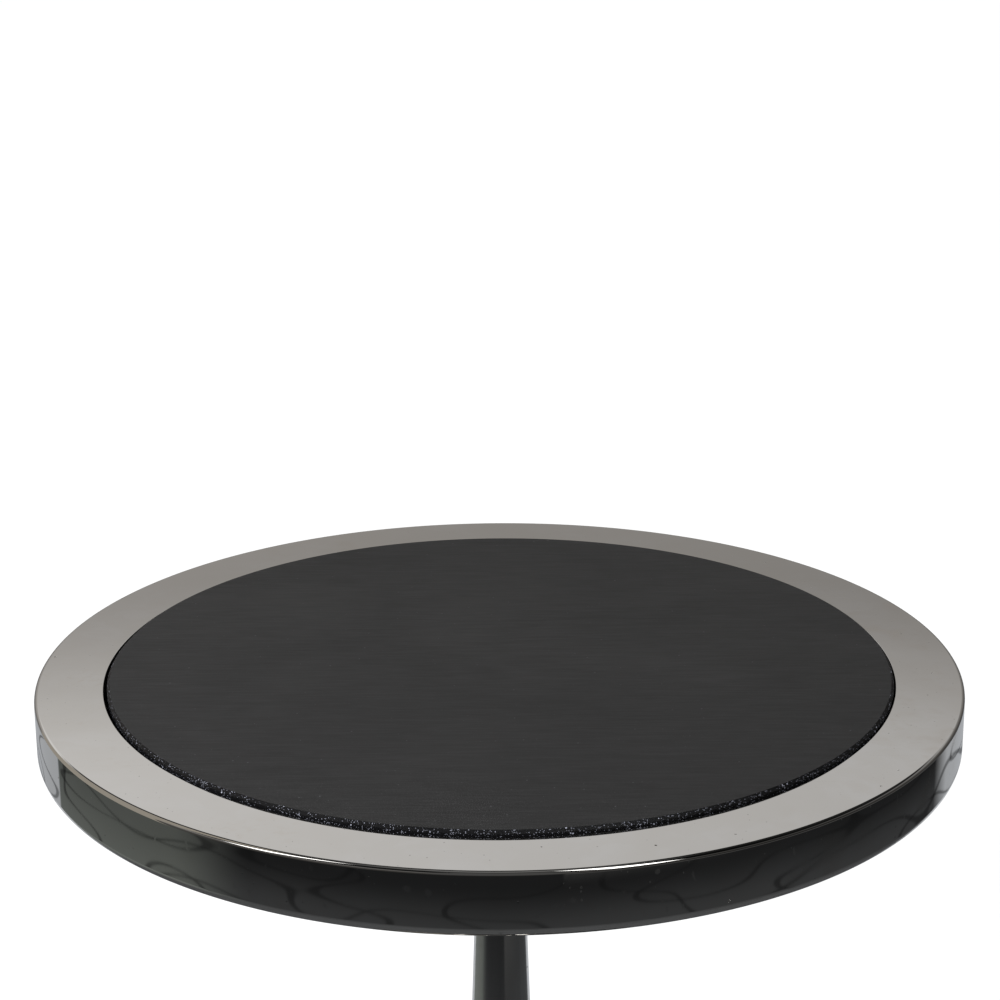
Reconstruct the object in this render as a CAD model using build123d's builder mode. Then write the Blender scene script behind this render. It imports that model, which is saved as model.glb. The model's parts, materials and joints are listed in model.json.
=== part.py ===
"""Round pedestal side table: a black stone disc set into a polished metal top, on a tapered column.

Units are millimetres and +Z is up.  The origin is on the floor, on the column's
axis, and every height below is measured from the floor.  Each piece is written
to parts/NAME.step.
"""

import os

from build123d import *

os.makedirs("parts", exist_ok=True)

# ------------------------------------------------------------------ driving dimensions

table_height = 558.8  # floor to the flat of the metal rim, 22 in
top_radius = 228.6  # an 18 in top
rim_depth = 31.0  # outer band of the top
sheet = 1.5  # wall of every spun shell
rim_top_round = 1.8
rim_hem_round = 5.0
rim_lip_width = 4.0  # flat part of the lip turned in under the band

well_radius = 195.3  # hole in the rim that the stone drops into
stone_thickness = 15.0
stone_proud = 2.5  # the stone stands this far above the rim
stone_bevel = 1.4
stone_lower_bevel = 0.8
stone_clearance = 1.3  # mean gap round the stone
stone_shift = (0.5, -0.4)  # the loose stone lies a little off centre

core_thickness = 12.0
mounting_plate_thickness = 4.0
backing_thickness = 2.0

column_radius_at_mark = 13.85  # outside of the column, measured at the mark below
column_mark_depth = 149.6  # depth of that mark under the rim's flat
column_taper = 0.0346  # growth of the radius for each millimetre downwards

base_radius = 152.4  # a 12 in foot
base_edge_top = 22.0  # where the dome meets the foot's flat edge
base_shell_bottom = 8.6
neck_height = 92.0  # top of the foot, under the bead ring
bead_height = 8.0

rod_radius = 6.0  # M12
rod_clearance = 0.3
rod_pitch = 1.75
stud_radius = 4.0  # M8
stud_pitch = 1.25
glide_travel = 6.0
glide_count = 4
glide_circle = 112.0

fit = 0.05  # gap between screws and their holes
slack = 1.0  # gap round pieces that only lie beside each other
shell_gap = 0.3  # gap between pieces that move apart
small_chamfer = 1.0

# ------------------------------------------------------------------- derived heights

rim_bottom = table_height - rim_depth
stone_bottom = table_height + stone_proud - stone_thickness
bumper_height = 1.6
bumper_gap = 0.2
ledge_top = stone_bottom - bumper_gap - bumper_height
core_top = ledge_top - sheet
core_bottom = core_top - core_thickness
plate_bottom = core_bottom - mounting_plate_thickness
collar_height = 17.0
column_top = plate_bottom - collar_height
column_bottom = neck_height + bead_height

stone_radius = well_radius - stone_clearance


def column_radius(height):
    """Outside radius of the column at a height above the floor."""
    return column_radius_at_mark + (table_height - height - column_mark_depth) * column_taper


def write(builder, name):
    """Labels a finished piece and writes it to parts/NAME.step."""
    builder.part.label = name
    export_step(builder.part, f"parts/{name}.step")


# ------------------------------------------------------------------- fastener helpers


def cross_recess(height, size, depth, axis_radius, count, first_angle=0.0):
    """Cuts a cross-shaped driver recess into each head of a ring of screws."""
    with BuildSketch(Plane.XY.offset(height)) as recess:
        with PolarLocations(axis_radius, count, first_angle):
            Rectangle(size, 0.22 * size)
            Rectangle(0.22 * size, size)
    extrude(recess.sketch, amount=depth, mode=Mode.SUBTRACT)


def thread_outline(radius, low, high, pitch):
    """Points of a rod's outline, from low to high, with a ring groove for each thread pitch."""
    depth = 0.6 * pitch
    points = []
    turns = int((high - low) / pitch)
    for turn in range(turns):
        start = low + turn * pitch
        points += [(radius, start), (radius, start + 0.2 * pitch), (radius - depth, start + 0.6 * pitch)]
    points += [(radius, low + turns * pitch), (radius, high)]
    return points


# =================================================================== the top assembly

lip_inner_radius = top_radius - rim_hem_round - rim_lip_width
ledge_inner_radius = 150.0
ledge_screw_circle = 166.0
ledge_screw_count = 8
wood_screw_radius = 1.9
wood_screw_head = 3.9

rim_corner_radii = [
    0.4,  # edge of the well
    rim_top_round,
    rim_hem_round,
    0,  # end of the lip
    0,
    rim_hem_round - sheet,
    0.4,
    0.4,
    1.6,  # outside of the bend into the ledge
    0,  # end of the ledge
    0,
    0.6,
]

# Polished shell: ring, outer band with its lip, wall of the well and the ledge under the stone.
with BuildPart() as rim_shell:
    with BuildSketch(Plane.XZ) as rim_section:
        with BuildLine():
            FilletPolyline(
                (well_radius, table_height),
                (top_radius, table_height),
                (top_radius, rim_bottom),
                (lip_inner_radius, rim_bottom),
                (lip_inner_radius, rim_bottom + sheet),
                (top_radius - sheet, rim_bottom + sheet),
                (top_radius - sheet, table_height - sheet),
                (well_radius + sheet, table_height - sheet),
                (well_radius + sheet, ledge_top - sheet),
                (ledge_inner_radius, ledge_top - sheet),
                (ledge_inner_radius, ledge_top),
                (well_radius, ledge_top),
                radius=rim_corner_radii,
                close=True,
            )
        make_face()
    revolve(axis=Axis.Z)
    with BuildSketch(Plane.XY.offset(ledge_top)):
        with PolarLocations(ledge_screw_circle, ledge_screw_count):
            Circle(wood_screw_head + fit)
    extrude(amount=-sheet, taper=45, mode=Mode.SUBTRACT)
write(rim_shell, "rim_shell")

# Round screws through the ledge into the core, with flat heads level with the ledge.
ledge_screw_length = 11.0
with BuildPart() as ledge_screws:
    with BuildSketch(Plane.XY.offset(ledge_top - fit)):
        with PolarLocations(ledge_screw_circle, ledge_screw_count):
            Circle(wood_screw_head)
    extrude(amount=-(wood_screw_head - wood_screw_radius), taper=45)
    with BuildSketch(Plane.XY.offset(ledge_top - ledge_screw_length)):
        with PolarLocations(ledge_screw_circle, ledge_screw_count):
            Circle(wood_screw_radius)
    extrude(amount=ledge_screw_length - 1)
    cross_recess(ledge_top, 4.4, -1.5, ledge_screw_circle, ledge_screw_count)
write(ledge_screws, "ledge_screws")

# Core board under the ledge.
core_radius = 219.0
hub_radius = 14.0
mounting_screw_circle = 65.0
mounting_screw_count = 6
mounting_screw_length = 14.0
backing_screw_circle = 206.0
backing_screw_count = 8
backing_screw_radius = 1.5
with BuildPart() as top_core:
    with BuildSketch(Plane.XY.offset(core_bottom)):
        Circle(core_radius)
        Circle(hub_radius + slack, mode=Mode.SUBTRACT)
        with PolarLocations(ledge_screw_circle, ledge_screw_count):
            Circle(wood_screw_radius + fit, mode=Mode.SUBTRACT)
        with PolarLocations(mounting_screw_circle, mounting_screw_count, 30):
            Circle(wood_screw_radius + fit, mode=Mode.SUBTRACT)
        with PolarLocations(backing_screw_circle, backing_screw_count, 22.5):
            Circle(backing_screw_radius + fit, mode=Mode.SUBTRACT)
    extrude(amount=core_thickness)
    with BuildSketch(Plane.XY.offset(core_top)):
        with PolarLocations(ledge_screw_circle, ledge_screw_count):
            Circle(wood_screw_head + fit - sheet)
    extrude(amount=-(wood_screw_head - wood_screw_radius - sheet + fit), taper=45, mode=Mode.SUBTRACT)
    chamfer(top_core.edges().filter_by(GeomType.CIRCLE).sort_by(SortBy.RADIUS)[-2:], small_chamfer)
write(top_core, "top_core")

# Soft dots that the stone lies on.
bumper_radius = 6.0
bumper_round = 1.0
bumper_circle = 183.0
bumper_count = 8
with BuildPart() as stone_bumpers:
    with BuildSketch(Plane.XY.offset(ledge_top)):
        with PolarLocations(bumper_circle, bumper_count, 22.5):
            Circle(bumper_radius)
    extrude(amount=bumper_height)
    fillet(stone_bumpers.faces().group_by(Axis.Z)[-1].edges(), bumper_round)
write(stone_bumpers, "stone_bumpers")

# The stone disc, bevelled round its upper edge.
with BuildPart() as stone_inset:
    with BuildSketch(Plane.XY.offset(stone_bottom)):
        with Locations(stone_shift):
            Circle(stone_radius)
    extrude(amount=stone_thickness)
    chamfer(stone_inset.faces().sort_by(Axis.Z)[-1].edges(), stone_bevel)
    chamfer(stone_inset.faces().sort_by(Axis.Z)[0].edges(), stone_lower_bevel)
write(stone_inset, "stone_inset")

# Steel plate that joins the column to the core.
mounting_plate_radius = 80.0
with BuildPart() as mounting_plate:
    with BuildSketch(Plane.XY.offset(plate_bottom)):
        Circle(mounting_plate_radius)
        Circle(rod_radius + rod_clearance, mode=Mode.SUBTRACT)
    extrude(amount=mounting_plate_thickness)
    chamfer(mounting_plate.faces().sort_by(Axis.Z)[0].edges().sort_by(SortBy.RADIUS)[-1], small_chamfer)
    with Locations(Plane.XY.offset(plate_bottom)):
        with PolarLocations(mounting_screw_circle, mounting_screw_count, 30):
            with Locations(Rotation(180, 0, 0)):
                CounterSinkHole(
                    wood_screw_radius + fit,
                    wood_screw_head + fit,
                    depth=mounting_plate_thickness,
                    counter_sink_angle=90,
                )
write(mounting_plate, "mounting_plate")

with BuildPart() as mounting_screws:
    with BuildSketch(Plane.XY.offset(plate_bottom + fit)):
        with PolarLocations(mounting_screw_circle, mounting_screw_count, 30):
            Circle(wood_screw_head)
    extrude(amount=wood_screw_head - wood_screw_radius, taper=45)
    with BuildSketch(Plane.XY.offset(plate_bottom + 1)):
        with PolarLocations(mounting_screw_circle, mounting_screw_count, 30):
            Circle(wood_screw_radius)
    extrude(amount=mounting_screw_length - 1)
    cross_recess(plate_bottom, 4.4, 1.5, mounting_screw_circle, mounting_screw_count, 30)
write(mounting_screws, "mounting_screws")

# Threaded hub welded on the plate, in the hole at the core's centre.
with BuildPart() as hub_nut:
    with BuildSketch(Plane.XY.offset(core_bottom)):
        Circle(hub_radius)
        Circle(rod_radius + 2 * fit, mode=Mode.SUBTRACT)
    extrude(amount=core_thickness)
    chamfer(hub_nut.faces().sort_by(Axis.Z)[-1].edges(), small_chamfer)
write(hub_nut, "hub_nut")

# Black board that covers the core from below.
backing_radius = lip_inner_radius - slack
with BuildPart() as backing_panel:
    with BuildSketch(Plane.XY.offset(core_bottom - backing_thickness)):
        Circle(backing_radius)
        Circle(mounting_plate_radius + slack, mode=Mode.SUBTRACT)
        with PolarLocations(backing_screw_circle, backing_screw_count, 22.5):
            Circle(backing_screw_radius + fit, mode=Mode.SUBTRACT)
    extrude(amount=backing_thickness)
write(backing_panel, "backing_panel")

backing_head_radius = 3.4
backing_head_height = 1.7
backing_head_round = 1.1
backing_screw_length = 9.0
with BuildPart() as backing_screws:
    with BuildSketch(Plane.XY.offset(core_bottom - backing_thickness)):
        with PolarLocations(backing_screw_circle, backing_screw_count, 22.5):
            Circle(backing_head_radius)
    extrude(amount=-backing_head_height)
    fillet(backing_screws.faces().group_by(Axis.Z)[0].edges(), backing_head_round)
    with BuildSketch(Plane.XY.offset(core_bottom - backing_thickness)):
        with PolarLocations(backing_screw_circle, backing_screw_count, 22.5):
            Circle(backing_screw_radius)
    extrude(amount=backing_screw_length)
    head_face = core_bottom - backing_thickness - backing_head_height
    cross_recess(head_face, 3.4, 1.2, backing_screw_circle, backing_screw_count, 22.5)
write(backing_screws, "backing_screws")

# ================================================================= the column assembly

collar_radius = 27.0
collar_flange = 3.5
collar_cove = 9.0  # width of the hollow curve under the flange
collar_neck = column_radius(column_top) + 1.8
collar_bead = 3.0
collar_bead_swell = 1.3
collar_spigot = 12.0
spigot_fit = 0.2
rod_bore = rod_radius + rod_clearance
collar_edge = collar_radius - 1.0
collar_spigot_radius = column_radius(column_top) - sheet - spigot_fit

# Turned collar between the mounting plate and the column.
with BuildPart() as top_collar:
    with BuildSketch(Plane.XZ):
        with BuildLine():
            Polyline(
                (rod_bore, column_top - collar_spigot),
                (rod_bore, plate_bottom),
                (collar_edge, plate_bottom),
            )
            RadiusArc(
                (collar_edge, plate_bottom),
                (collar_edge, plate_bottom - collar_flange),
                0.5 * collar_flange + 0.01,
            )
            Line(
                (collar_edge, plate_bottom - collar_flange),
                (collar_neck + collar_cove, plate_bottom - collar_flange),
            )
            RadiusArc(
                (collar_neck + collar_cove, plate_bottom - collar_flange),
                (collar_neck, column_top + collar_bead),
                -10.2,
            )
            ThreePointArc(
                (collar_neck, column_top + collar_bead),
                (collar_neck + collar_bead_swell, column_top + collar_bead / 2),
                (collar_neck, column_top),
            )
            Polyline(
                (collar_neck, column_top),
                (collar_spigot_radius, column_top),
                (collar_spigot_radius, column_top - collar_spigot),
                (rod_bore, column_top - collar_spigot),
            )
        make_face()
    revolve(axis=Axis.Z)
write(top_collar, "top_collar")

# Tapered tube of the column.
with BuildPart() as column_shell:
    with BuildSketch(Plane.XZ):
        with BuildLine():
            Polyline(
                (column_radius(column_bottom), column_bottom),
                (column_radius(column_top), column_top),
                (column_radius(column_top) - sheet, column_top),
                (column_radius(column_bottom) - sheet, column_bottom),
                close=True,
            )
        make_face()
    revolve(axis=Axis.Z)
write(column_shell, "column_shell")

# Nylon disc that keeps the rod on the column's axis.
guide_height = 300.0
guide_thickness = 8.0
guide_radius = column_radius(guide_height + guide_thickness) - sheet - spigot_fit
with BuildPart() as rod_guide:
    with BuildSketch(Plane.XY.offset(guide_height)):
        Circle(guide_radius)
        Circle(rod_bore, mode=Mode.SUBTRACT)
        with PolarLocations(0.5 * (guide_radius + rod_bore), 3):
            Circle(2.2, mode=Mode.SUBTRACT)
    extrude(amount=guide_thickness)
write(rod_guide, "rod_guide")

# Bead ring between the column and the foot, with a spigot up inside the column.
bead_radius = column_radius(column_bottom) + 4.2
bead_spigot = 10.0
bead_spigot_radius = column_radius(column_bottom + bead_spigot) - sheet - spigot_fit
with BuildPart() as bead_ring:
    with BuildSketch(Plane.XZ):
        with BuildLine():
            Polyline(
                (bead_radius - bead_height / 2, neck_height),
                (rod_bore, neck_height),
                (rod_bore, column_bottom + bead_spigot),
                (bead_spigot_radius, column_bottom + bead_spigot),
                (bead_spigot_radius, column_bottom),
                (bead_radius - bead_height / 2, column_bottom),
            )
            ThreePointArc(
                (bead_radius - bead_height / 2, column_bottom),
                (bead_radius, neck_height + bead_height / 2),
                (bead_radius - bead_height / 2, neck_height),
            )
        make_face()
    revolve(axis=Axis.Z)
write(bead_ring, "bead_ring")

# Threaded rod that clamps top, column and foot together.
rod_bottom = 14.5
rod_top = core_top - slack
rod_thread_top = 24.0
rod_thread_bottom = 22.0
with BuildPart() as tie_rod:
    with BuildSketch(Plane.XZ):
        with BuildLine():
            Polyline(
                (0, rod_bottom),
                *thread_outline(rod_radius, rod_bottom, rod_bottom + rod_thread_bottom, rod_pitch),
                *thread_outline(rod_radius, rod_top - rod_thread_top, rod_top, rod_pitch),
                (0, rod_top),
                close=True,
            )
        make_face()
    revolve(axis=Axis.Z)
write(tie_rod, "tie_rod")

# ================================================================== the foot assembly

neck_radius = column_radius(column_bottom) + 0.3
dome_end_radius = base_radius - 6.0
dome_width = dome_end_radius - neck_radius
dome_height = neck_height - base_edge_top
edge_round = 3.0
base_bottom_round = 1.4
plate_gap = 0.3
base_plate_bottom = base_shell_bottom + sheet + plate_gap
base_plate_thickness = 3.0
base_plate_top = base_plate_bottom + base_plate_thickness
neck_bore = 14.0
base_lip_radius = base_radius - 5.0


def dome_section(inset):
    """Half outline of the foot, moved inwards by an inset, as lines, a corner arc and a quarter ellipse."""
    radius = base_radius - inset
    edge_top = base_edge_top - inset
    top = neck_height - inset
    corner = edge_round - inset
    floor = base_shell_bottom + inset
    Polyline((0, top), (0, floor), (radius, floor), (radius, edge_top - corner))
    RadiusArc((radius, edge_top - corner), (radius - corner, edge_top), -corner)
    Line((radius - corner, edge_top), (dome_end_radius, edge_top))
    EllipticalCenterArc(
        (dome_end_radius, top),
        dome_width + inset,
        top - edge_top,
        start_angle=180,
        arc_size=90,
    )
    Line((neck_radius - inset, top), (0, top))


# Polished foot: neck, dome, edge and the lip turned in under the base plate.
with BuildPart() as base_shell:
    with BuildSketch(Plane.XZ):
        with BuildLine():
            dome_section(0)
        make_face()
    revolve(axis=Axis.Z)
    fillet(base_shell.faces().sort_by(Axis.Z)[0].edges(), base_bottom_round)
    with BuildSketch(Plane.XZ):
        with BuildLine():
            dome_section(sheet)
        make_face()
    revolve(axis=Axis.Z, mode=Mode.SUBTRACT)
    with BuildSketch(Plane.XY.offset(neck_height)):
        Circle(neck_bore)
    extrude(amount=-sheet, mode=Mode.SUBTRACT)
    with BuildSketch(Plane.XY.offset(base_shell_bottom)):
        Circle(base_lip_radius)
    extrude(amount=sheet, mode=Mode.SUBTRACT)
write(base_shell, "base_shell")

# Cast weight that fills the foot, with pockets for the nut and the glides.
ballast_boss_radius = neck_radius - 4.0
ballast_radius = 140.0
ballast_gap = 2.5
nut_pocket_radius = 21.0
nut_pocket_top = 30.0
glide_pocket_radius = 11.0
plate_screw_circle = 75.0
plate_screw_count = 4
plate_screw_radius = 3.0
plate_screw_head = 6.0
plate_screw_length = 15.0
glide_first_angle = 45.0
with BuildPart() as ballast:
    ballast_top = neck_height - sheet
    ballast_low = base_edge_top - sheet - ballast_gap
    with BuildSketch(Plane.XZ):
        with BuildLine():
            Polyline(
                (dome_end_radius, ballast_low),
                (dome_end_radius, base_plate_top),
                (0, base_plate_top),
                (0, ballast_top),
                (ballast_boss_radius, ballast_top),
            )
            EllipticalCenterArc(
                (dome_end_radius, ballast_top),
                dome_end_radius - ballast_boss_radius,
                ballast_top - ballast_low,
                start_angle=180,
                arc_size=90,
            )
        make_face()
    revolve(axis=Axis.Z)
    with BuildSketch(Plane.XY.offset(base_plate_top)):
        Circle(dome_end_radius + slack)
        Circle(ballast_radius, mode=Mode.SUBTRACT)
        Circle(rod_bore)
        with PolarLocations(glide_circle, glide_count, start_angle=glide_first_angle):
            Circle(glide_pocket_radius)
    extrude(amount=neck_height, mode=Mode.SUBTRACT)
    with BuildSketch(Plane.XY.offset(base_plate_top)):
        Circle(nut_pocket_radius)
    extrude(amount=nut_pocket_top - base_plate_top, mode=Mode.SUBTRACT)
    with BuildSketch(Plane.XY.offset(base_plate_top)):
        with PolarLocations(plate_screw_circle, plate_screw_count):
            Circle(plate_screw_radius + fit)
    extrude(amount=plate_screw_length - base_plate_thickness + slack, mode=Mode.SUBTRACT)
write(ballast, "ballast")

# Steel disc that closes the foot.
with BuildPart() as base_plate:
    with BuildSketch(Plane.XY.offset(base_plate_bottom)):
        Circle(base_radius - sheet - plate_gap)
        Circle(nut_pocket_radius, mode=Mode.SUBTRACT)
        with PolarLocations(glide_circle, glide_count, start_angle=glide_first_angle):
            Circle(stud_radius + 2 * fit, mode=Mode.SUBTRACT)
    extrude(amount=base_plate_thickness)
    with Locations(Plane.XY.offset(base_plate_bottom)):
        with PolarLocations(plate_screw_circle, plate_screw_count):
            with Locations(Rotation(180, 0, 0)):
                CounterSinkHole(
                    plate_screw_radius + fit,
                    plate_screw_head + fit,
                    depth=base_plate_thickness,
                    counter_sink_angle=90,
                )
write(base_plate, "base_plate")

with BuildPart() as base_plate_screws:
    with BuildSketch(Plane.XY.offset(base_plate_bottom + fit)):
        with PolarLocations(plate_screw_circle, plate_screw_count):
            Circle(plate_screw_head)
    extrude(amount=plate_screw_head - plate_screw_radius, taper=45)
    with BuildSketch(Plane.XY.offset(base_plate_bottom + 1)):
        with PolarLocations(plate_screw_circle, plate_screw_count):
            Circle(plate_screw_radius)
    extrude(amount=plate_screw_length - 1)
    with BuildSketch(Plane.XY.offset(base_plate_bottom)):
        with PolarLocations(plate_screw_circle, plate_screw_count):
            RegularPolygon(radius=2.3, side_count=6)
    extrude(amount=2.2, mode=Mode.SUBTRACT)
write(base_plate_screws, "base_plate_screws")

# Washer, spring washer and nut on the rod's lower end, in the pocket of the weight.
washer_thickness = 2.5
spring_washer_thickness = 2.5
rod_nut_height = 10.0
rod_nut_flats = 19.0
washer_bottom = nut_pocket_top - washer_thickness
spring_washer_bottom = washer_bottom - spring_washer_thickness
rod_nut_bottom = spring_washer_bottom - rod_nut_height
with BuildPart() as tie_rod_washer:
    with BuildSketch(Plane.XY.offset(washer_bottom)):
        Circle(18.0)
        Circle(rod_radius + 0.5, mode=Mode.SUBTRACT)
    extrude(amount=washer_thickness)
write(tie_rod_washer, "tie_rod_washer")

with BuildPart() as tie_rod_spring_washer:
    with BuildSketch(Plane.XY.offset(spring_washer_bottom)):
        Circle(10.5)
        Circle(rod_radius + 0.2, mode=Mode.SUBTRACT)
        with Locations((8.5, 0)):
            Rectangle(6, 0.8, rotation=20, mode=Mode.SUBTRACT)
    extrude(amount=spring_washer_thickness)
write(tie_rod_spring_washer, "tie_rod_spring_washer")

with BuildPart() as tie_rod_nut:
    with BuildSketch(Plane.XY.offset(rod_nut_bottom)):
        RegularPolygon(radius=rod_nut_flats / 2, side_count=6, major_radius=False)
        Circle(rod_radius + 2 * fit, mode=Mode.SUBTRACT)
    extrude(amount=rod_nut_height)
    with BuildSketch(Plane.XZ):
        with BuildLine():
            corner = rod_nut_flats / 2 + 2.0
            Polyline(
                (0, rod_nut_bottom),
                (rod_nut_flats / 2 - 0.4, rod_nut_bottom),
                (corner, rod_nut_bottom + 1.2),
                (corner, rod_nut_bottom + rod_nut_height),
                (0, rod_nut_bottom + rod_nut_height),
                close=True,
            )
        make_face()
    revolve(axis=Axis.Z, mode=Mode.INTERSECT)
write(tie_rod_nut, "tie_rod_nut")

# Weld nuts that hold the glides, on top of the base plate.
glide_nut_flats = 13.0
glide_nut_height = 6.0
with BuildPart() as glide_nuts:
    with BuildSketch(Plane.XY.offset(base_plate_top)):
        with PolarLocations(glide_circle, glide_count, start_angle=glide_first_angle):
            RegularPolygon(radius=glide_nut_flats / 2, side_count=6, major_radius=False)
            Circle(stud_radius + 2 * fit, mode=Mode.SUBTRACT)
    extrude(amount=glide_nut_height)
write(glide_nuts, "glide_nuts")

# ============================================================== the levelling glides

felt_thickness = 1.0
felt_radius = 12.5
pad_radius = 13.0
pad_height = 7.0
ball_radius = 2.8
ball_height = 4.7
socket_gap = 0.3
neck_of_ball = 1.9
socket_mouth = 2.3
hex_flats = 13.0
hex_bottom = pad_height + shell_gap
hex_top = base_plate_bottom - shell_gap
stud_top = base_plate_top + glide_nut_height + 2.0


def glide_location(index):
    """Location of one glide's axis on the floor."""
    angle = glide_first_angle + index * 360 / glide_count
    return Rot(0, 0, angle) * Pos(glide_circle, 0, 0)


for index in range(glide_count):
    axis_plane = Plane(glide_location(index))
    section_plane = Plane(origin=axis_plane.origin, x_dir=axis_plane.x_dir, z_dir=-axis_plane.y_dir)
    spin_axis = Axis(axis_plane.origin, (0, 0, 1))

    # Felt face that meets the floor.
    with BuildPart() as glide_felt:
        with BuildSketch(axis_plane):
            Circle(felt_radius)
        extrude(amount=felt_thickness)
    write(glide_felt, f"glide_{index + 1}_felt")

    # Nylon pad with the socket of the ball.
    with BuildPart() as glide_pad:
        with BuildSketch(section_plane):
            with BuildLine():
                FilletPolyline(
                    (0, felt_thickness),
                    (pad_radius, felt_thickness),
                    (pad_radius, felt_thickness + 2.4),
                    (7.4, pad_height),
                    (0, pad_height),
                    radius=[0.4, 1.2, 0.8],
                )
                Line((0, pad_height), (0, felt_thickness))
            make_face()
        revolve(axis=spin_axis)
        with Locations(Location(axis_plane.origin) * Pos(0, 0, ball_height)):
            Sphere(ball_radius + socket_gap, mode=Mode.SUBTRACT)
        with BuildSketch(axis_plane.offset(ball_height)):
            Circle(socket_mouth)
        extrude(amount=pad_height - ball_height, mode=Mode.SUBTRACT)
    write(glide_pad, f"glide_{index + 1}_pad")

    # Threaded stud with its spanner hexagon and ball.
    with BuildPart() as glide_stud:
        with BuildSketch(section_plane):
            with BuildLine():
                Polyline(
                    (0, hex_top),
                    *thread_outline(stud_radius, hex_top, stud_top - 0.8, stud_pitch),
                    (stud_radius - 0.7, stud_top),
                    (0, stud_top),
                    close=True,
                )
            make_face()
        revolve(axis=spin_axis)
        with BuildSketch(axis_plane.offset(hex_bottom)):
            RegularPolygon(radius=hex_flats / 2, side_count=6, major_radius=False)
        extrude(amount=hex_top - hex_bottom)
        with BuildSketch(axis_plane.offset(ball_height)):
            Circle(neck_of_ball)
        extrude(amount=hex_bottom - ball_height)
        with Locations(Location(axis_plane.origin) * Pos(0, 0, ball_height)):
            Sphere(ball_radius)
    write(glide_stud, f"glide_{index + 1}_stud")
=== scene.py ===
"""Looks of a round pedestal side table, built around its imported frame.

The table is a polished nickel rim with a loose disc of honed black stone, on a tapered
nickel column and a weighted domed foot.  Every visible polished or soft piece is turned or
cut again here as a fine mesh; plates, screws and nuts keep their frame meshes and get
their finishes.  Units are metres, +Z is up and the origin is on the floor.
"""

import json
import logging
import math
from collections.abc import Callable, Iterable, Sequence
from dataclasses import dataclass
from enum import Enum

import bmesh
import bpy
from mathutils import Matrix, Vector


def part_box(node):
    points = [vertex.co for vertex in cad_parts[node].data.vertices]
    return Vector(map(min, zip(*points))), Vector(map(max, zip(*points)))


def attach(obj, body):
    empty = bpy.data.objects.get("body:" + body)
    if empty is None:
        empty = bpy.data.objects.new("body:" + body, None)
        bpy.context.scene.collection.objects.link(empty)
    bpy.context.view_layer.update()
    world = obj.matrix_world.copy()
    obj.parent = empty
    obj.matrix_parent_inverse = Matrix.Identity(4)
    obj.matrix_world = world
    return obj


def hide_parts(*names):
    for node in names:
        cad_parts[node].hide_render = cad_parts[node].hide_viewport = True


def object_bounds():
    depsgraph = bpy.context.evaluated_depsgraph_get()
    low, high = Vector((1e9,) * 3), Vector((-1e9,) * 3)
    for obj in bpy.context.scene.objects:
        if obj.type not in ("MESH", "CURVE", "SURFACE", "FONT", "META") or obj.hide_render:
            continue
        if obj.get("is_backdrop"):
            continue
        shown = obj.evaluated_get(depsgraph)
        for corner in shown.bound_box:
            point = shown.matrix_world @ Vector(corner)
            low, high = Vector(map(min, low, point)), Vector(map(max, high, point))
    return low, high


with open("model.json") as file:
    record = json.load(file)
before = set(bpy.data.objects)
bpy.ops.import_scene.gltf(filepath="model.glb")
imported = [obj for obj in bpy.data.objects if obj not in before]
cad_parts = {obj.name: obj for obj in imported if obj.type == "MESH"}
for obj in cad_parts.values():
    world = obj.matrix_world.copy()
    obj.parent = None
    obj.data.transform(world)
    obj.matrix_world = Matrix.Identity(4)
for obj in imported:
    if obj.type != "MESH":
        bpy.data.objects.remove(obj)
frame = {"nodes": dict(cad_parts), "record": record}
cad_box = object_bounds()

log = logging.getLogger("pedestal_table")

Colour = tuple[float, float, float]
Point = tuple[float, float]  # distance from the axis, height
Socket = bpy.types.NodeSocket

MM = 0.001


class Body(Enum):
    """Bodies of the frame that pieces ride on."""

    TABLE = "table"
    STONE = "stone"
    GLIDE = "glide_{}"


class Slot(Enum):
    """Material slots of the record."""

    NICKEL = "polished_nickel"
    STONE = "black_stone"
    CORE = "core_board"
    BOARD = "black_board"
    BLACK_STEEL = "black_steel"
    ZINC = "zinc_steel"
    BLACK_SCREW = "blackened_screw"
    IRON = "cast_iron"
    RUBBER = "black_rubber"
    NYLON = "black_nylon"
    FELT = "felt"


# ------------------------------------------------------------------------- node trees


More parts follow.
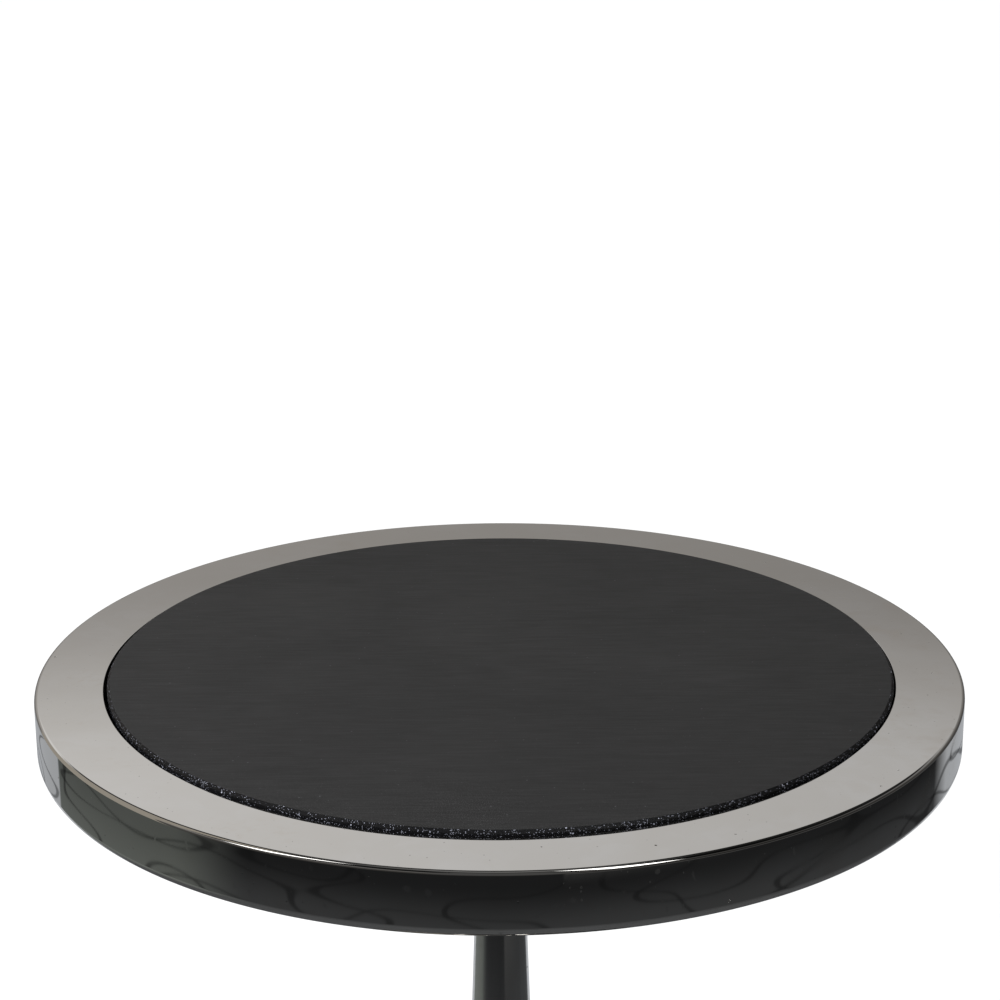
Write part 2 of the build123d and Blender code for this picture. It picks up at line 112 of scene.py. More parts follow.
class Nodes:
    """Adds nodes to one node tree and links them."""

    def __init__(self, tree: bpy.types.NodeTree) -> None:
        """Starts on a tree, and empties it.

        Args:
            tree: The node tree of a material, a world or a group.
        """
        self.tree = tree
        tree.nodes.clear()

    def add(
        self,
        kind: str,
        inputs: dict[str | int, object] | None = None,
        **settings: object,
    ) -> bpy.types.Node:
        """Adds a node.

        Args:
            kind: The node's type name.
            inputs: Values or sockets for its inputs, by name or number.
            **settings: Properties of the node.

        Returns:
            The new node.
        """
        node = self.tree.nodes.new(kind)
        for name, value in settings.items():
            setattr(node, name, value)
        for name, value in (inputs or {}).items():
            if isinstance(value, Socket):
                self.tree.links.new(value, node.inputs[name])
            else:
                node.inputs[name].default_value = value
        return node

    def math(self, operation: str, *values: float | Socket) -> Socket:
        """Returns the result of a Math node on up to three values."""
        return self.add("ShaderNodeMath", dict(enumerate(values)), operation=operation).outputs[0]

    def times(self, first: float | Socket, second: float | Socket) -> Socket:
        """Returns the product of two values."""
        return self.math("MULTIPLY", first, second)

    def plus(self, first: float | Socket, second: float | Socket) -> Socket:
        """Returns the sum of two values."""
        return self.math("ADD", first, second)

    def minus(self, first: float | Socket, second: float | Socket) -> Socket:
        """Returns the first value less the second."""
        return self.math("SUBTRACT", first, second)

    def vector(self, operation: str, *values: object) -> bpy.types.Node:
        """Returns a Vector Math node on up to three values."""
        return self.add("ShaderNodeVectorMath", dict(enumerate(values)), operation=operation)

    def span(
        self, value: Socket, low: float, high: float, start: float = 0.0, end: float = 1.0
    ) -> Socket:
        """Turns a value smoothly from start, at low, to end, at high.

        Args:
            value: The value to turn.
            low: Where the change begins.
            high: Where it ends.
            start: The result up to low.
            end: The result from high on.

        Returns:
            The result's socket.
        """
        inputs = {0: value, 1: low, 2: high, 3: start, 4: end}
        return self.add("ShaderNodeMapRange", inputs, interpolation_type="SMOOTHSTEP").outputs[0]

    def noise(self, vector: Socket, scale: float | Socket, detail: float = 3.0, warp: float = 0.0) -> Socket:
        """Returns the grey value of a noise texture."""
        inputs = {"Vector": vector, "Scale": scale, "Detail": detail, "Distortion": warp}
        return self.add("ShaderNodeTexNoise", inputs).outputs[0]

    def stretch(self, vector: Socket, scale: Sequence[float], turn: float = 0.0) -> Socket:
        """Returns coordinates scaled along each axis and turned about Z by an angle in degrees."""
        inputs = {"Vector": vector, "Scale": tuple(scale), "Rotation": (0.0, 0.0, math.radians(turn))}
        return self.add("ShaderNodeMapping", inputs).outputs[0]

    def mix(self, share: float | Socket, first: object, second: object, blend: str = "MIX") -> Socket:
        """Mixes two colours.

        Args:
            share: How much of the second colour shows.
            first: The first colour or its socket.
            second: The second colour or its socket.
            blend: The way they mix.

        Returns:
            The mixed colour's socket.
        """
        node = self.add("ShaderNodeMix", data_type="RGBA", blend_type=blend)
        for name, value in (("Factor_Float", share), ("A_Color", first), ("B_Color", second)):
            socket = next(s for s in node.inputs if s.identifier == name)
            if isinstance(value, Socket):
                self.tree.links.new(value, socket)
            elif name == "Factor_Float":
                socket.default_value = value
            else:
                socket.default_value = rgba(value)
        return next(s for s in node.outputs if s.identifier == "Result_Color")

    def lay(self, ground: Socket, mask: Socket, strength: float, colour: object) -> Socket:
        """Lays a colour over another where a mask is, as strongly as asked."""
        return self.mix(self.times(mask, strength), ground, colour)

    def product(self, first: object, second: object) -> Socket:
        """Returns two colours multiplied with each other."""
        return self.mix(1.0, first, second, "MULTIPLY")

    def clamp(self, value: Socket) -> Socket:
        """Returns a value held between 0 and 1."""
        return self.add("ShaderNodeClamp", {0: value}).outputs[0]


def rgba(colour: Colour | float) -> tuple[float, float, float, float]:
    """Returns an opaque colour from three values or from one grey."""
    red, green, blue = colour if isinstance(colour, tuple) else (colour,) * 3
    return (red, green, blue, 1.0)


def begin_group(
    name: str,
    inputs: dict[str, float],
    outputs: Iterable[str],
) -> tuple[Nodes, dict[str, Socket], bpy.types.Node]:
    """Begins a shader node group whose first input is a vector and whose outputs are values.

    Args:
        name: The group's name.
        inputs: Names and default values of its value inputs, after Vector.
        outputs: Names of its outputs.

    Returns:
        The nodes, the group's inputs by name, and its output node.
    """
    tree = bpy.data.node_groups.new(name, "ShaderNodeTree")
    tree.interface.new_socket("Vector", in_out="INPUT", socket_type="NodeSocketVector")
    for label, value in inputs.items():
        socket = tree.interface.new_socket(label, in_out="INPUT", socket_type="NodeSocketFloat")
        socket.default_value = value
    for label in outputs:
        tree.interface.new_socket(label, in_out="OUTPUT", socket_type="NodeSocketFloat")
    nodes = Nodes(tree)
    entry = nodes.add("NodeGroupInput")
    return nodes, {s.name: s for s in entry.outputs if s.name}, nodes.add("NodeGroupOutput")


def once(build: Callable[[], bpy.types.NodeTree]) -> Callable[[], bpy.types.NodeTree]:
    """Makes a group builder return the group that it built before."""
    built: list[bpy.types.NodeTree] = []

    def get() -> bpy.types.NodeTree:
        """Returns the group, building it the first time."""
        if not built:
            built.append(build())
        return built[0]

    return get


@once
def speck_group() -> bpy.types.NodeTree:
    """Builds the group of small round specks.

    Returns:
        A group whose Mask is 1 in the specks.  Share is how many cells have one, Size how
        much of its cell a speck fills.
    """
    nodes, given, out = begin_group("specks", {"Scale": 400.0, "Share": 0.1, "Size": 0.3}, ["Mask"])
    cell = {"Vector": given["Vector"], "Scale": given["Scale"]}
    near = nodes.add("ShaderNodeTexVoronoi", cell)
    chance = nodes.add("ShaderNodeSeparateColor", {0: near.outputs["Color"]})
    chosen = nodes.math("LESS_THAN", chance.outputs[0], given["Share"])
    reach = nodes.times(given["Size"], nodes.plus(chance.outputs[1], 0.35))
    inside = nodes.minus(reach, near.outputs["Distance"])
    edge = nodes.times(inside, 12.0)
    mask = nodes.times(chosen, nodes.clamp(edge))
    nodes.tree.links.new(mask, out.inputs["Mask"])
    return nodes.tree


@once
def scratch_group() -> bpy.types.NodeTree:
    """Builds the group of fine straight scratches in two directions.

    Returns:
        A group whose Mask is 1 in the scratches.  Share is how many there are.
    """
    nodes, given, out = begin_group("fine scratches", {"Scale": 10.0, "Share": 0.5}, ["Mask"])
    place = nodes.vector("SCALE", given["Vector"])
    nodes.tree.links.new(given["Scale"], place.inputs["Scale"])
    limit = nodes.minus(1.0, nodes.times(given["Share"], 0.4))
    total: Socket | float = 0.0
    for turn, length in ((14.0, 0.9), (-38.0, 1.4), (77.0, 1.1)):
        lines = nodes.noise(nodes.stretch(place.outputs[0], (length, 46.0, 8.0), turn), 1.0, 1.0)
        deep = nodes.minus(lines, limit)
        clear = nodes.clamp(nodes.times(deep, 24.0))
        total = nodes.math("MAXIMUM", clear, total)
    nodes.tree.links.new(total, out.inputs["Mask"])
    return nodes.tree


@once
def stain_group() -> bpy.types.NodeTree:
    """Builds the group of soft stains and wiped smears.

    Returns:
        A group with Cloud, a soft value about 0.5, and Mask, the few clear stains.
    """
    nodes, given, out = begin_group("stains", {"Scale": 12.0}, ["Cloud", "Mask"])
    cloud = nodes.noise(given["Vector"], given["Scale"], 5.0, 0.8)
    wide = nodes.noise(given["Vector"], nodes.times(given["Scale"], 0.31), 2.0)
    spots = nodes.noise(given["Vector"], nodes.times(given["Scale"], 3.7), 2.0)
    mask = nodes.times(nodes.span(wide, 0.52, 0.66), nodes.span(spots, 0.5, 0.74))
    nodes.tree.links.new(cloud, out.inputs["Cloud"])
    nodes.tree.links.new(mask, out.inputs["Mask"])
    return nodes.tree


@once
def grain_group() -> bpy.types.NodeTree:
    """Builds the group of fine streaks along X, as honing or brushing leaves them.

    Returns:
        A group whose Value varies about 0.5.  Scale is streaks for each metre across them.
    """
    nodes, given, out = begin_group("streaks", {"Scale": 900.0, "Wander": 0.004}, ["Value"])
    bend = nodes.noise(given["Vector"], 7.0, 1.0)
    shift = nodes.times(nodes.minus(bend, 0.5), given["Wander"])
    offset = nodes.add("ShaderNodeCombineXYZ", {"Y": shift})
    place = nodes.vector("ADD", given["Vector"], offset.outputs[0]).outputs[0]
    fine = nodes.noise(nodes.stretch(place, (0.035, 1.0, 1.0)), given["Scale"], 3.0)
    wider = nodes.times(given["Scale"], 0.27)
    coarse = nodes.noise(nodes.stretch(place, (0.06, 1.0, 1.0)), wider, 2.0)
    value = nodes.plus(nodes.times(fine, 0.6), nodes.times(coarse, 0.4))
    nodes.tree.links.new(value, out.inputs["Value"])
    return nodes.tree


# --------------------------------------------------------------------------- finishes


@dataclass(frozen=True)
class Finish:
    """A finish on a Principled shader; each kind of finish paints itself in `paint`.

    Attributes:
        name: The material's name.
        colour: Its main colour.
        roughness: Its mean roughness.
    """

    name: str
    colour: Colour
    roughness: float

    def constants(self) -> dict[str, object]:
        """Returns values that are the same all over the surface, by the shader's input."""
        return {}

    def paint(self, nodes: Nodes, place: Socket) -> dict[str, Socket]:
        """Returns sockets for the shader's varying inputs, and Height for a bump.

        Args:
            nodes: The material's nodes.
            place: Object coordinates.

        Returns:
            Sockets by the shader's input name.
        """
        raise NotImplementedError

    def bump_depth(self) -> float:
        """Returns the depth of the bump in metres for a height of 1."""
        return 0.00005

    def material(self) -> bpy.types.Material:
        """Returns the material, built the first time it is asked for."""
        known = bpy.data.materials.get(self.name)
        if known:
            return known
        made = bpy.data.materials.new(self.name)
        made.use_nodes = True
        nodes = Nodes(made.node_tree)
        place = nodes.add("ShaderNodeTexCoord").outputs["Object"]
        painted = self.paint(nodes, place)
        height = painted.pop("Height", None)
        if height is not None:
            bump = {"Height": height, "Strength": 1.0, "Distance": self.bump_depth()}
            painted["Normal"] = nodes.add("ShaderNodeBump", bump).outputs[0]
        start = {"Base Color": rgba(self.colour), "Roughness": self.roughness}
        shader = nodes.add("ShaderNodeBsdfPrincipled", {**start, **self.constants(), **painted})
        nodes.add("ShaderNodeOutputMaterial", {"Surface": shader.outputs[0]})
        return made

    @staticmethod
    def group(nodes: Nodes, tree: bpy.types.NodeTree, place: Socket, **values: float) -> bpy.types.Node:
        """Places a shared group in the material with its own values."""
        inputs = {"Vector": place, **{name.capitalize(): value for name, value in values.items()}}
        return nodes.add("ShaderNodeGroup", inputs, node_tree=tree)


@dataclass(frozen=True)
class PolishedNickel(Finish):
    """Mirror-polished nickel with wiped stains, many tiny pits and hairline scratches.

    Attributes:
        pits: Share of the surface's cells that have a pit.
        specks: Share of the cells that hold a pale speck of dust.
        wave: How much the sheet's surface wavers.
    """

    pits: float = 0.16
    specks: float = 0.02
    wave: float = 1.0

    def constants(self) -> dict[str, object]:
        """Returns the metal's constant values."""
        return {"Metallic": 1.0}

    def paint(self, nodes: Nodes, place: Socket) -> dict[str, Socket]:
        """Paints the stains, pits, dust, scratches and the sheet's faint waver.

        Args:
            nodes: The material's nodes.
            place: Object coordinates.

        Returns:
            Colour, roughness and height.
        """
        stains = self.group(nodes, stain_group(), place, scale=14.0)
        blotches = self.group(nodes, stain_group(), place, scale=62.0)
        pits = self.group(nodes, speck_group(), place, scale=420.0, share=self.pits, size=0.15)
        dust = self.group(nodes, speck_group(), place, scale=290.0, share=self.specks, size=0.17)
        hairs = self.group(nodes, scratch_group(), place, scale=11.0, share=0.66)
        red, green, blue = self.colour
        dull = (red * 0.955, green * 0.945, blue * 0.925)
        warm = (red * 0.90, green * 0.86, blue * 0.81)
        colour = nodes.mix(nodes.span(stains.outputs["Cloud"], 0.3, 0.7), dull, self.colour)
        colour = nodes.mix(nodes.span(blotches.outputs["Cloud"], 0.62, 0.42, 0.0, 0.5), colour, dull)
        colour = nodes.lay(colour, stains.outputs["Mask"], 0.7, warm)
        colour = nodes.lay(colour, blotches.outputs["Mask"], 0.35, warm)
        colour = nodes.lay(colour, pits.outputs["Mask"], 0.42, (0.2, 0.19, 0.18))
        dirt = nodes.times(stains.outputs["Mask"], 0.07)
        hair = nodes.times(hairs.outputs["Mask"], 0.05)
        haze = nodes.times(stains.outputs["Cloud"], 0.016)
        ground = nodes.plus(haze, self.roughness - 0.008)
        rough = nodes.plus(nodes.plus(dirt, hair), ground)
        rough = nodes.plus(rough, nodes.times(dust.outputs["Mask"], 0.6))
        waver = nodes.times(nodes.noise(place, 16.0, 1.0), self.wave)
        height = nodes.minus(waver, nodes.times(pits.outputs["Mask"], 0.12))
        return {"Base Color": colour, "Roughness": rough, "Height": height}


@dataclass(frozen=True)
class HonedStone(Finish):
    """Black stone honed with straight passes, with faint lighter grains whose pale colour also paints their
    glints.

    Attributes:
        crystals: Share of the cells that hold one of the crystals, painted pale for their glints.
        glint: Colour of the crystals, pale and bluish, which paints their glints.
        streaks: How much the honing streaks show.
        shine: Strength of its mirror-like part.
    """

    crystals: float = 0.006
    glint: Colour = (0.055, 0.056, 0.060)
    streaks: float = 0.6
    shine: float = 0.47

    def constants(self) -> dict[str, object]:
        """Returns the stone's constant values."""
        return {"IOR": 1.45, "Specular IOR Level": self.shine}

    def paint(self, nodes: Nodes, place: Socket) -> dict[str, Socket]:
        """Paints the honing streaks, the mottled ground, smudges and the crystals, whose pale colour paints
        their glints.

        Args:
            nodes: The material's nodes.
            place: Object coordinates.

        Returns:
            Colour, roughness and height.
        """
        streak = self.group(nodes, grain_group(), place, scale=2100.0, wander=0.004).outputs["Value"]
        # The crystals and the finer specks are pale in the colour: the stone's own crystals, with their
        # glints painted in.
        crystal_glint = self.group(nodes, speck_group(), place, scale=1000.0, share=self.crystals, size=0.34)
        glint_bits = self.group(nodes, speck_group(), place, scale=2300.0, share=self.crystals * 2.5, size=0.5)
        hairs = self.group(nodes, scratch_group(), place, scale=8.0, share=0.62)
        smudge = self.group(nodes, stain_group(), place, scale=9.0)
        mottle = nodes.noise(place, 700.0, 5.0)
        red, green, blue = self.colour
        dark = (red * 0.86, green * 0.86, blue * 0.86)
        pale = (red * 1.5, green * 1.5, blue * 1.5)
        colour = nodes.mix(nodes.span(mottle, 0.3, 0.7), dark, self.colour)
        colour = nodes.mix(nodes.span(streak, 0.40, 0.68, 0.0, self.streaks), colour, pale)
        colour = nodes.mix(crystal_glint.outputs["Mask"], colour, self.glint)
        colour = nodes.lay(colour, glint_bits.outputs["Mask"], 0.5, self.glint)
        colour = nodes.lay(colour, hairs.outputs["Mask"], 0.10, (0.05, 0.05, 0.05))
        swing = nodes.times(nodes.minus(streak, 0.5), -0.3 * self.streaks)
        wiped = nodes.times(nodes.minus(smudge.outputs["Cloud"], 0.5), 0.16)
        shine = nodes.times(crystal_glint.outputs["Mask"], -0.10)
        rough = nodes.plus(nodes.plus(swing, self.roughness), nodes.plus(shine, wiped))
        ridges = nodes.times(streak, self.streaks)
        relief = nodes.plus(ridges, nodes.times(mottle, 0.2))
        return {"Base Color": colour, "Roughness": rough, "Height": relief}

    def bump_depth(self) -> float:
        """Returns the depth of the honing marks."""
        return 0.00001


@dataclass(frozen=True)
class PlainCoat(Finish):
    """Paint, zinc plating, blacked steel or cast skin, told apart by its values.

    Attributes:
        metal: How metallic it is.
        grain: Size of its fine relief, as bumps for each metre.
        relief: Depth of the relief in metres.
        wear: Colour that shows in its scuffs.
        scuffs: How much of it is scuffed.
        variation: How much its colour varies.
    """

    metal: float = 0.0
    grain: float = 900.0
    relief: float = 0.00002
    wear: Colour = (0.3, 0.3, 0.3)
    scuffs: float = 0.5
    variation: float = 0.25

    def constants(self) -> dict[str, object]:
        """Returns how metallic the coat is."""
        return {"Metallic": self.metal}

    def bump_depth(self) -> float:
        """Returns the depth of the relief."""
        return self.relief

    def paint(self, nodes: Nodes, place: Socket) -> dict[str, Socket]:
        """Paints the mottling, scuffs and relief.

        Args:
            nodes: The material's nodes.
            place: Object coordinates.

        Returns:
            Colour, roughness and height.
        """
        stains = self.group(nodes, stain_group(), place, scale=30.0)
        hairs = self.group(nodes, scratch_group(), place, scale=22.0, share=self.scuffs)
        skin = nodes.noise(place, self.grain, 3.0)
        low = tuple(c * (1.0 - self.variation) for c in self.colour)
        high = tuple(min(1.0, c * (1.0 + self.variation)) for c in self.colour)
        colour = nodes.mix(nodes.span(stains.outputs["Cloud"], 0.3, 0.7), low, high)
        colour = nodes.mix(nodes.span(skin, 0.35, 0.75, 0.0, 0.35), colour, low)
        colour = nodes.lay(colour, hairs.outputs["Mask"], 0.6, self.wear)
        swing = nodes.times(nodes.minus(stains.outputs["Cloud"], 0.5), 0.25)
        dust = nodes.times(stains.outputs["Mask"], 0.12)
        rough = nodes.plus(nodes.plus(swing, self.roughness), dust)
        return {"Base Color": colour, "Roughness": rough, "Height": skin}


@dataclass(frozen=True)
class FibreBoard(Finish):
    """Pressed wood-fibre board with short fibres and darker flecks."""

    def bump_depth(self) -> float:
        """Returns the depth of the fibres."""
        return 0.00008

    def paint(self, nodes: Nodes, place: Socket) -> dict[str, Socket]:
        """Paints the fibres and flecks.

        Args:
            nodes: The material's nodes.
            place: Object coordinates.

        Returns:
            Colour, roughness and height.
        """
        fibres = nodes.noise(nodes.stretch(place, (1.0, 0.25, 1.0), 31.0), 620.0, 5.0, 1.5)
        ground = nodes.noise(place, 24.0, 4.0)
        flecks = self.group(nodes, speck_group(), place, scale=520.0, share=0.12, size=0.3)
        red, green, blue = self.colour
        pale = (red * 1.25, green * 1.22, blue * 1.15)
        dark = (red * 0.72, green * 0.68, blue * 0.62)
        colour = nodes.mix(nodes.span(fibres, 0.35, 0.68), dark, pale)
        colour = nodes.mix(nodes.span(ground, 0.3, 0.7, 0.0, 0.5), colour, self.colour)
        colour = nodes.lay(colour, flecks.outputs["Mask"], 0.6, dark)
        rough = nodes.plus(nodes.times(fibres, 0.15), self.roughness - 0.07)
        return {"Base Color": colour, "Roughness": rough, "Height": fibres}


@dataclass(frozen=True)
class PressedFelt(Finish):
    """Dense pressed wool with tangled fibres."""

    def constants(self) -> dict[str, object]:
        """Returns the wool's sheen."""
        return {"Sheen Weight": 0.4, "Sheen Roughness": 0.6}

    def bump_depth(self) -> float:
        """Returns the depth of the fibres."""
        return 0.0003

    def paint(self, nodes: Nodes, place: Socket) -> dict[str, Socket]:
        """Paints two crossing layers of fibres.

        Args:
            nodes: The material's nodes.
            place: Object coordinates.

        Returns:
            Colour, roughness and height.
        """
        one = nodes.noise(nodes.stretch(place, (1.0, 0.2, 1.0), 20.0), 2600.0, 4.0, 2.0)
        two = nodes.noise(nodes.stretch(place, (0.2, 1.0, 1.0), -25.0), 2300.0, 4.0, 2.0)
        tangle = nodes.math("MAXIMUM", one, two)
        pale = tuple(c * 1.7 for c in self.colour)
        colour = nodes.mix(nodes.span(tangle, 0.45, 0.8), self.colour, pale)
        rough = nodes.plus(nodes.times(tangle, 0.1), self.roughness - 0.05)
        return {"Base Color": colour, "Roughness": rough, "Height": tangle}


NICKEL = PolishedNickel("polished nickel", (0.70, 0.69, 0.67), 0.022)
COLUMN_NICKEL = PolishedNickel("polished nickel column", (0.69, 0.69, 0.68), 0.14, pits=0.05, wave=0.5)
STONE_FACE = HonedStone("honed black stone", (0.0130, 0.0131, 0.0135), 0.50)
# The edge's crystals are bright and bluish: painted sparkle, the glints of the polished edge.
STONE_EDGE = HonedStone(
    "polished stone edge",
    (0.0035, 0.0035, 0.004),
    0.5,
    crystals=0.06,
    glint=(0.25, 0.26, 0.31),
    streaks=0.05,
    shine=0.25,
)

STEEL_WEAR = (0.35, 0.34, 0.33)
BLACK_WEAR = (0.07, 0.07, 0.07)

# The well's wall and ledge are the same nickel sheet, left unpolished and so rough; their near-black colour
# is painted shade for the dark gap round the stone.
SHADED_WELL_COAT = PlainCoat(
    "unpolished well metal with painted shade", (0.030, 0.029, 0.028), 0.6, metal=0.6, relief=0.00001, wear=BLACK_WEAR
)

COATS: dict[Slot, Finish] = {
    Slot.CORE: FibreBoard("fibre board", (0.42, 0.29, 0.18), 0.85),
    Slot.BOARD: PlainCoat(
        "black painted board", (0.022, 0.022, 0.023), 0.62, grain=260.0, relief=0.00006, wear=BLACK_WEAR
    ),
    Slot.BLACK_STEEL: PlainCoat(
        "black powder coat", (0.024, 0.024, 0.025), 0.45, grain=1400.0, relief=0.00004, wear=BLACK_WEAR
    ),
    Slot.ZINC: PlainCoat(
        "zinc plated steel", (0.56, 0.57, 0.58), 0.32, metal=1.0, grain=700.0, variation=0.12
    ),
    Slot.BLACK_SCREW: PlainCoat(
        "blacked steel", (0.05, 0.05, 0.053), 0.38, metal=0.8, relief=0.00001, wear=STEEL_WEAR
    ),
    Slot.IRON: PlainCoat("cast iron", (0.10, 0.098, 0.094), 0.72, metal=0.5, grain=420.0, relief=0.00025),
    Slot.RUBBER: PlainCoat("soft rubber", (0.028, 0.028, 0.028), 0.8, grain=1800.0, wear=BLACK_WEAR),
    Slot.NYLON: PlainCoat(
        "moulded nylon", (0.035, 0.035, 0.036), 0.5, grain=1500.0, relief=0.00003, wear=BLACK_WEAR
    ),
    Slot.FELT: PressedFelt("pressed felt", (0.085, 0.075, 0.064), 0.95),
}


# ----------------------------------------------------------------------- mesh building


@dataclass(frozen=True)
class Round:
    """Rounding or bevel of one corner of an outline.

    Attributes:
        corner: The corner's number in the outline.
        radius: Its radius, or the size of a bevel.
        segments: 1 for a flat bevel, more for a round.
    """

    corner: int
    radius: float
    segments: int = 6


def quarter(centre: Point, reach: Point, first: float, last: float, count: int) -> list[Point]:
    """Returns points along an arc of an ellipse, both ends included.

    Args:
        centre: The ellipse's centre.
        reach: Its half axes, outwards and upwards.
        first: Angle of the first point in degrees, from outwards.
        last: Angle of the last point.
        count: How many spans the arc has.

    Returns:
        The points.
    """
    angles = [math.radians(first + (last - first) * i / count) for i in range(count + 1)]
    return [(centre[0] + reach[0] * math.cos(a), centre[1] + reach[1] * math.sin(a)) for a in angles]


class Lathe:
    """Turns closed outlines into finished pieces."""

    def __init__(self, steps: int) -> None:
        """Sets how many steps a full turn has.

        Args:
            steps: The number of steps.
        """
        self.steps = steps

    def turn(
        self,
        outline: Sequence[Point],
        rounds: Sequence[Round] = (),
        closed: bool = True,
    ) -> bmesh.types.BMesh:
        """Spins an outline once round the column's axis and rounds its corners.

        Args:
            outline: Corners, as distance from the axis and height.
            rounds: Which corners are rounded.
            closed: True for a ring's section, False for an outline that starts and ends on the axis.

        Returns:
            The mesh, with its faces outwards.
        """
        mesh = bmesh.new()
        corners = [mesh.verts.new((radius, 0.0, height)) for radius, height in outline]
        pairs = list(zip(corners, corners[1:])) + ([(corners[-1], corners[0])] if closed else [])
        edges = [mesh.edges.new(pair) for pair in pairs]
        bmesh.ops.spin(
            mesh,
            geom=corners + edges,
            cent=(0, 0, 0),
            axis=(0, 0, 1),
            dvec=(0, 0, 0),
            angle=2 * math.pi,
            steps=self.steps,
            use_merge=True,
        )
        bmesh.ops.remove_doubles(mesh, verts=mesh.verts, dist=1e-7)
        for item in rounds:
            self.round_corner(mesh, outline, item)
        bmesh.ops.recalc_face_normals(mesh, faces=mesh.faces)
        return mesh

    @staticmethod
    def round_corner(mesh: bmesh.types.BMesh, outline: Sequence[Point], item: Round) -> None:
        """Bevels the circle of edges that one corner of the outline became.

        Args:
            mesh: The spun mesh.
            outline: The outline it was spun from.
            item: The corner and its rounding.
        """
        here = Vector(outline[item.corner])
        before = (here - Vector(outline[item.corner - 1])).normalized()
        after = (Vector(outline[(item.corner + 1) % len(outline)]) - here).normalized()
        turn = before.angle(after)
        offset = item.radius * math.tan(turn / 2) if item.segments > 1 else item.radius
        tolerance = 1e-6

        def on_corner(vert: bmesh.types.BMVert) -> bool:
            """Tells whether a vertex lies on the corner's circle."""
            return abs(vert.co.xy.length - here.x) < tolerance and abs(vert.co.z - here.y) < tolerance

        ring = [edge for edge in mesh.edges if all(on_corner(vert) for vert in edge.verts)]
        bmesh.ops.bevel(
            mesh,
            geom=ring,
            offset=offset,
            offset_type="OFFSET",
            segments=item.segments,
            profile=0.5,
            affect="EDGES",
            clamp_overlap=False,
            material=-1,
        )


def place_mesh(mesh: bmesh.types.BMesh, name: str) -> bpy.types.Object:
    """Turns a mesh into an object in the scene.

    Args:
        mesh: The mesh, which is used up.
        name: The object's name.

    Returns:
        The object.
    """
    data = bpy.data.meshes.new(name)
    mesh.to_mesh(data)
    mesh.free()
    item = bpy.data.objects.new(name, data)
    bpy.context.scene.collection.objects.link(item)
    return item


def dress(
    piece: bpy.types.Object,
    body: str,
    slot: Slot,
    finishes: Sequence[Finish],
    nodes: Sequence[str],
) -> None:
    """Gives a piece its finishes and smooth shading, and lets it ride on its body.

    Args:
        piece: The piece.
        body: The body it rides on.
        slot: The record's slot that the piece belongs to; not used.
        finishes: Its finishes, by the material number of its faces.
        nodes: The frame's nodes that it stands for.
    """
    for finish in finishes:
        piece.data.materials.append(finish.material())
    piece.data.shade_smooth()
    weighted = piece.modifiers.new("even shading", "WEIGHTED_NORMAL")
    weighted.keep_sharp = True
    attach(piece, body)
    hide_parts(*nodes)
    log.info("%s: %d faces on %s", piece.name, len(piece.data.polygons), body)


def cut(piece: bpy.types.Object, cutter: bmesh.types.BMesh) -> None:
    """Cuts a tool's shape out of a piece for good.

    Args:
        piece: The piece to cut.
        cutter: The tool's mesh, which is used up.
    """
    tool = place_mesh(cutter, "cutter")
    saw = piece.modifiers.new("cut", "BOOLEAN")
    saw.operation = "DIFFERENCE"
    saw.solver = "EXACT"
    saw.object = tool
    bpy.context.view_layer.update()
    seen = piece.evaluated_get(bpy.context.evaluated_depsgraph_get())
    result = bpy.data.meshes.new_from_object(seen)
    piece.modifiers.remove(saw)
    old, piece.data = piece.data, result
    result.name = piece.name
    for spent in (old, tool.data):
        bpy.data.meshes.remove(spent)


def ring_places(radius: float, count: int, first: float = 0.0) -> list[Vector]:
    """Returns places spaced evenly on a circle about the axis, the first at an angle in degrees."""
    return [
        Vector((radius * math.cos(a), radius * math.sin(a), 0.0))
        for a in (math.radians(first + 360.0 * i / count) for i in range(count))
    ]


# ------------------------------------------------------------------- the table's parts


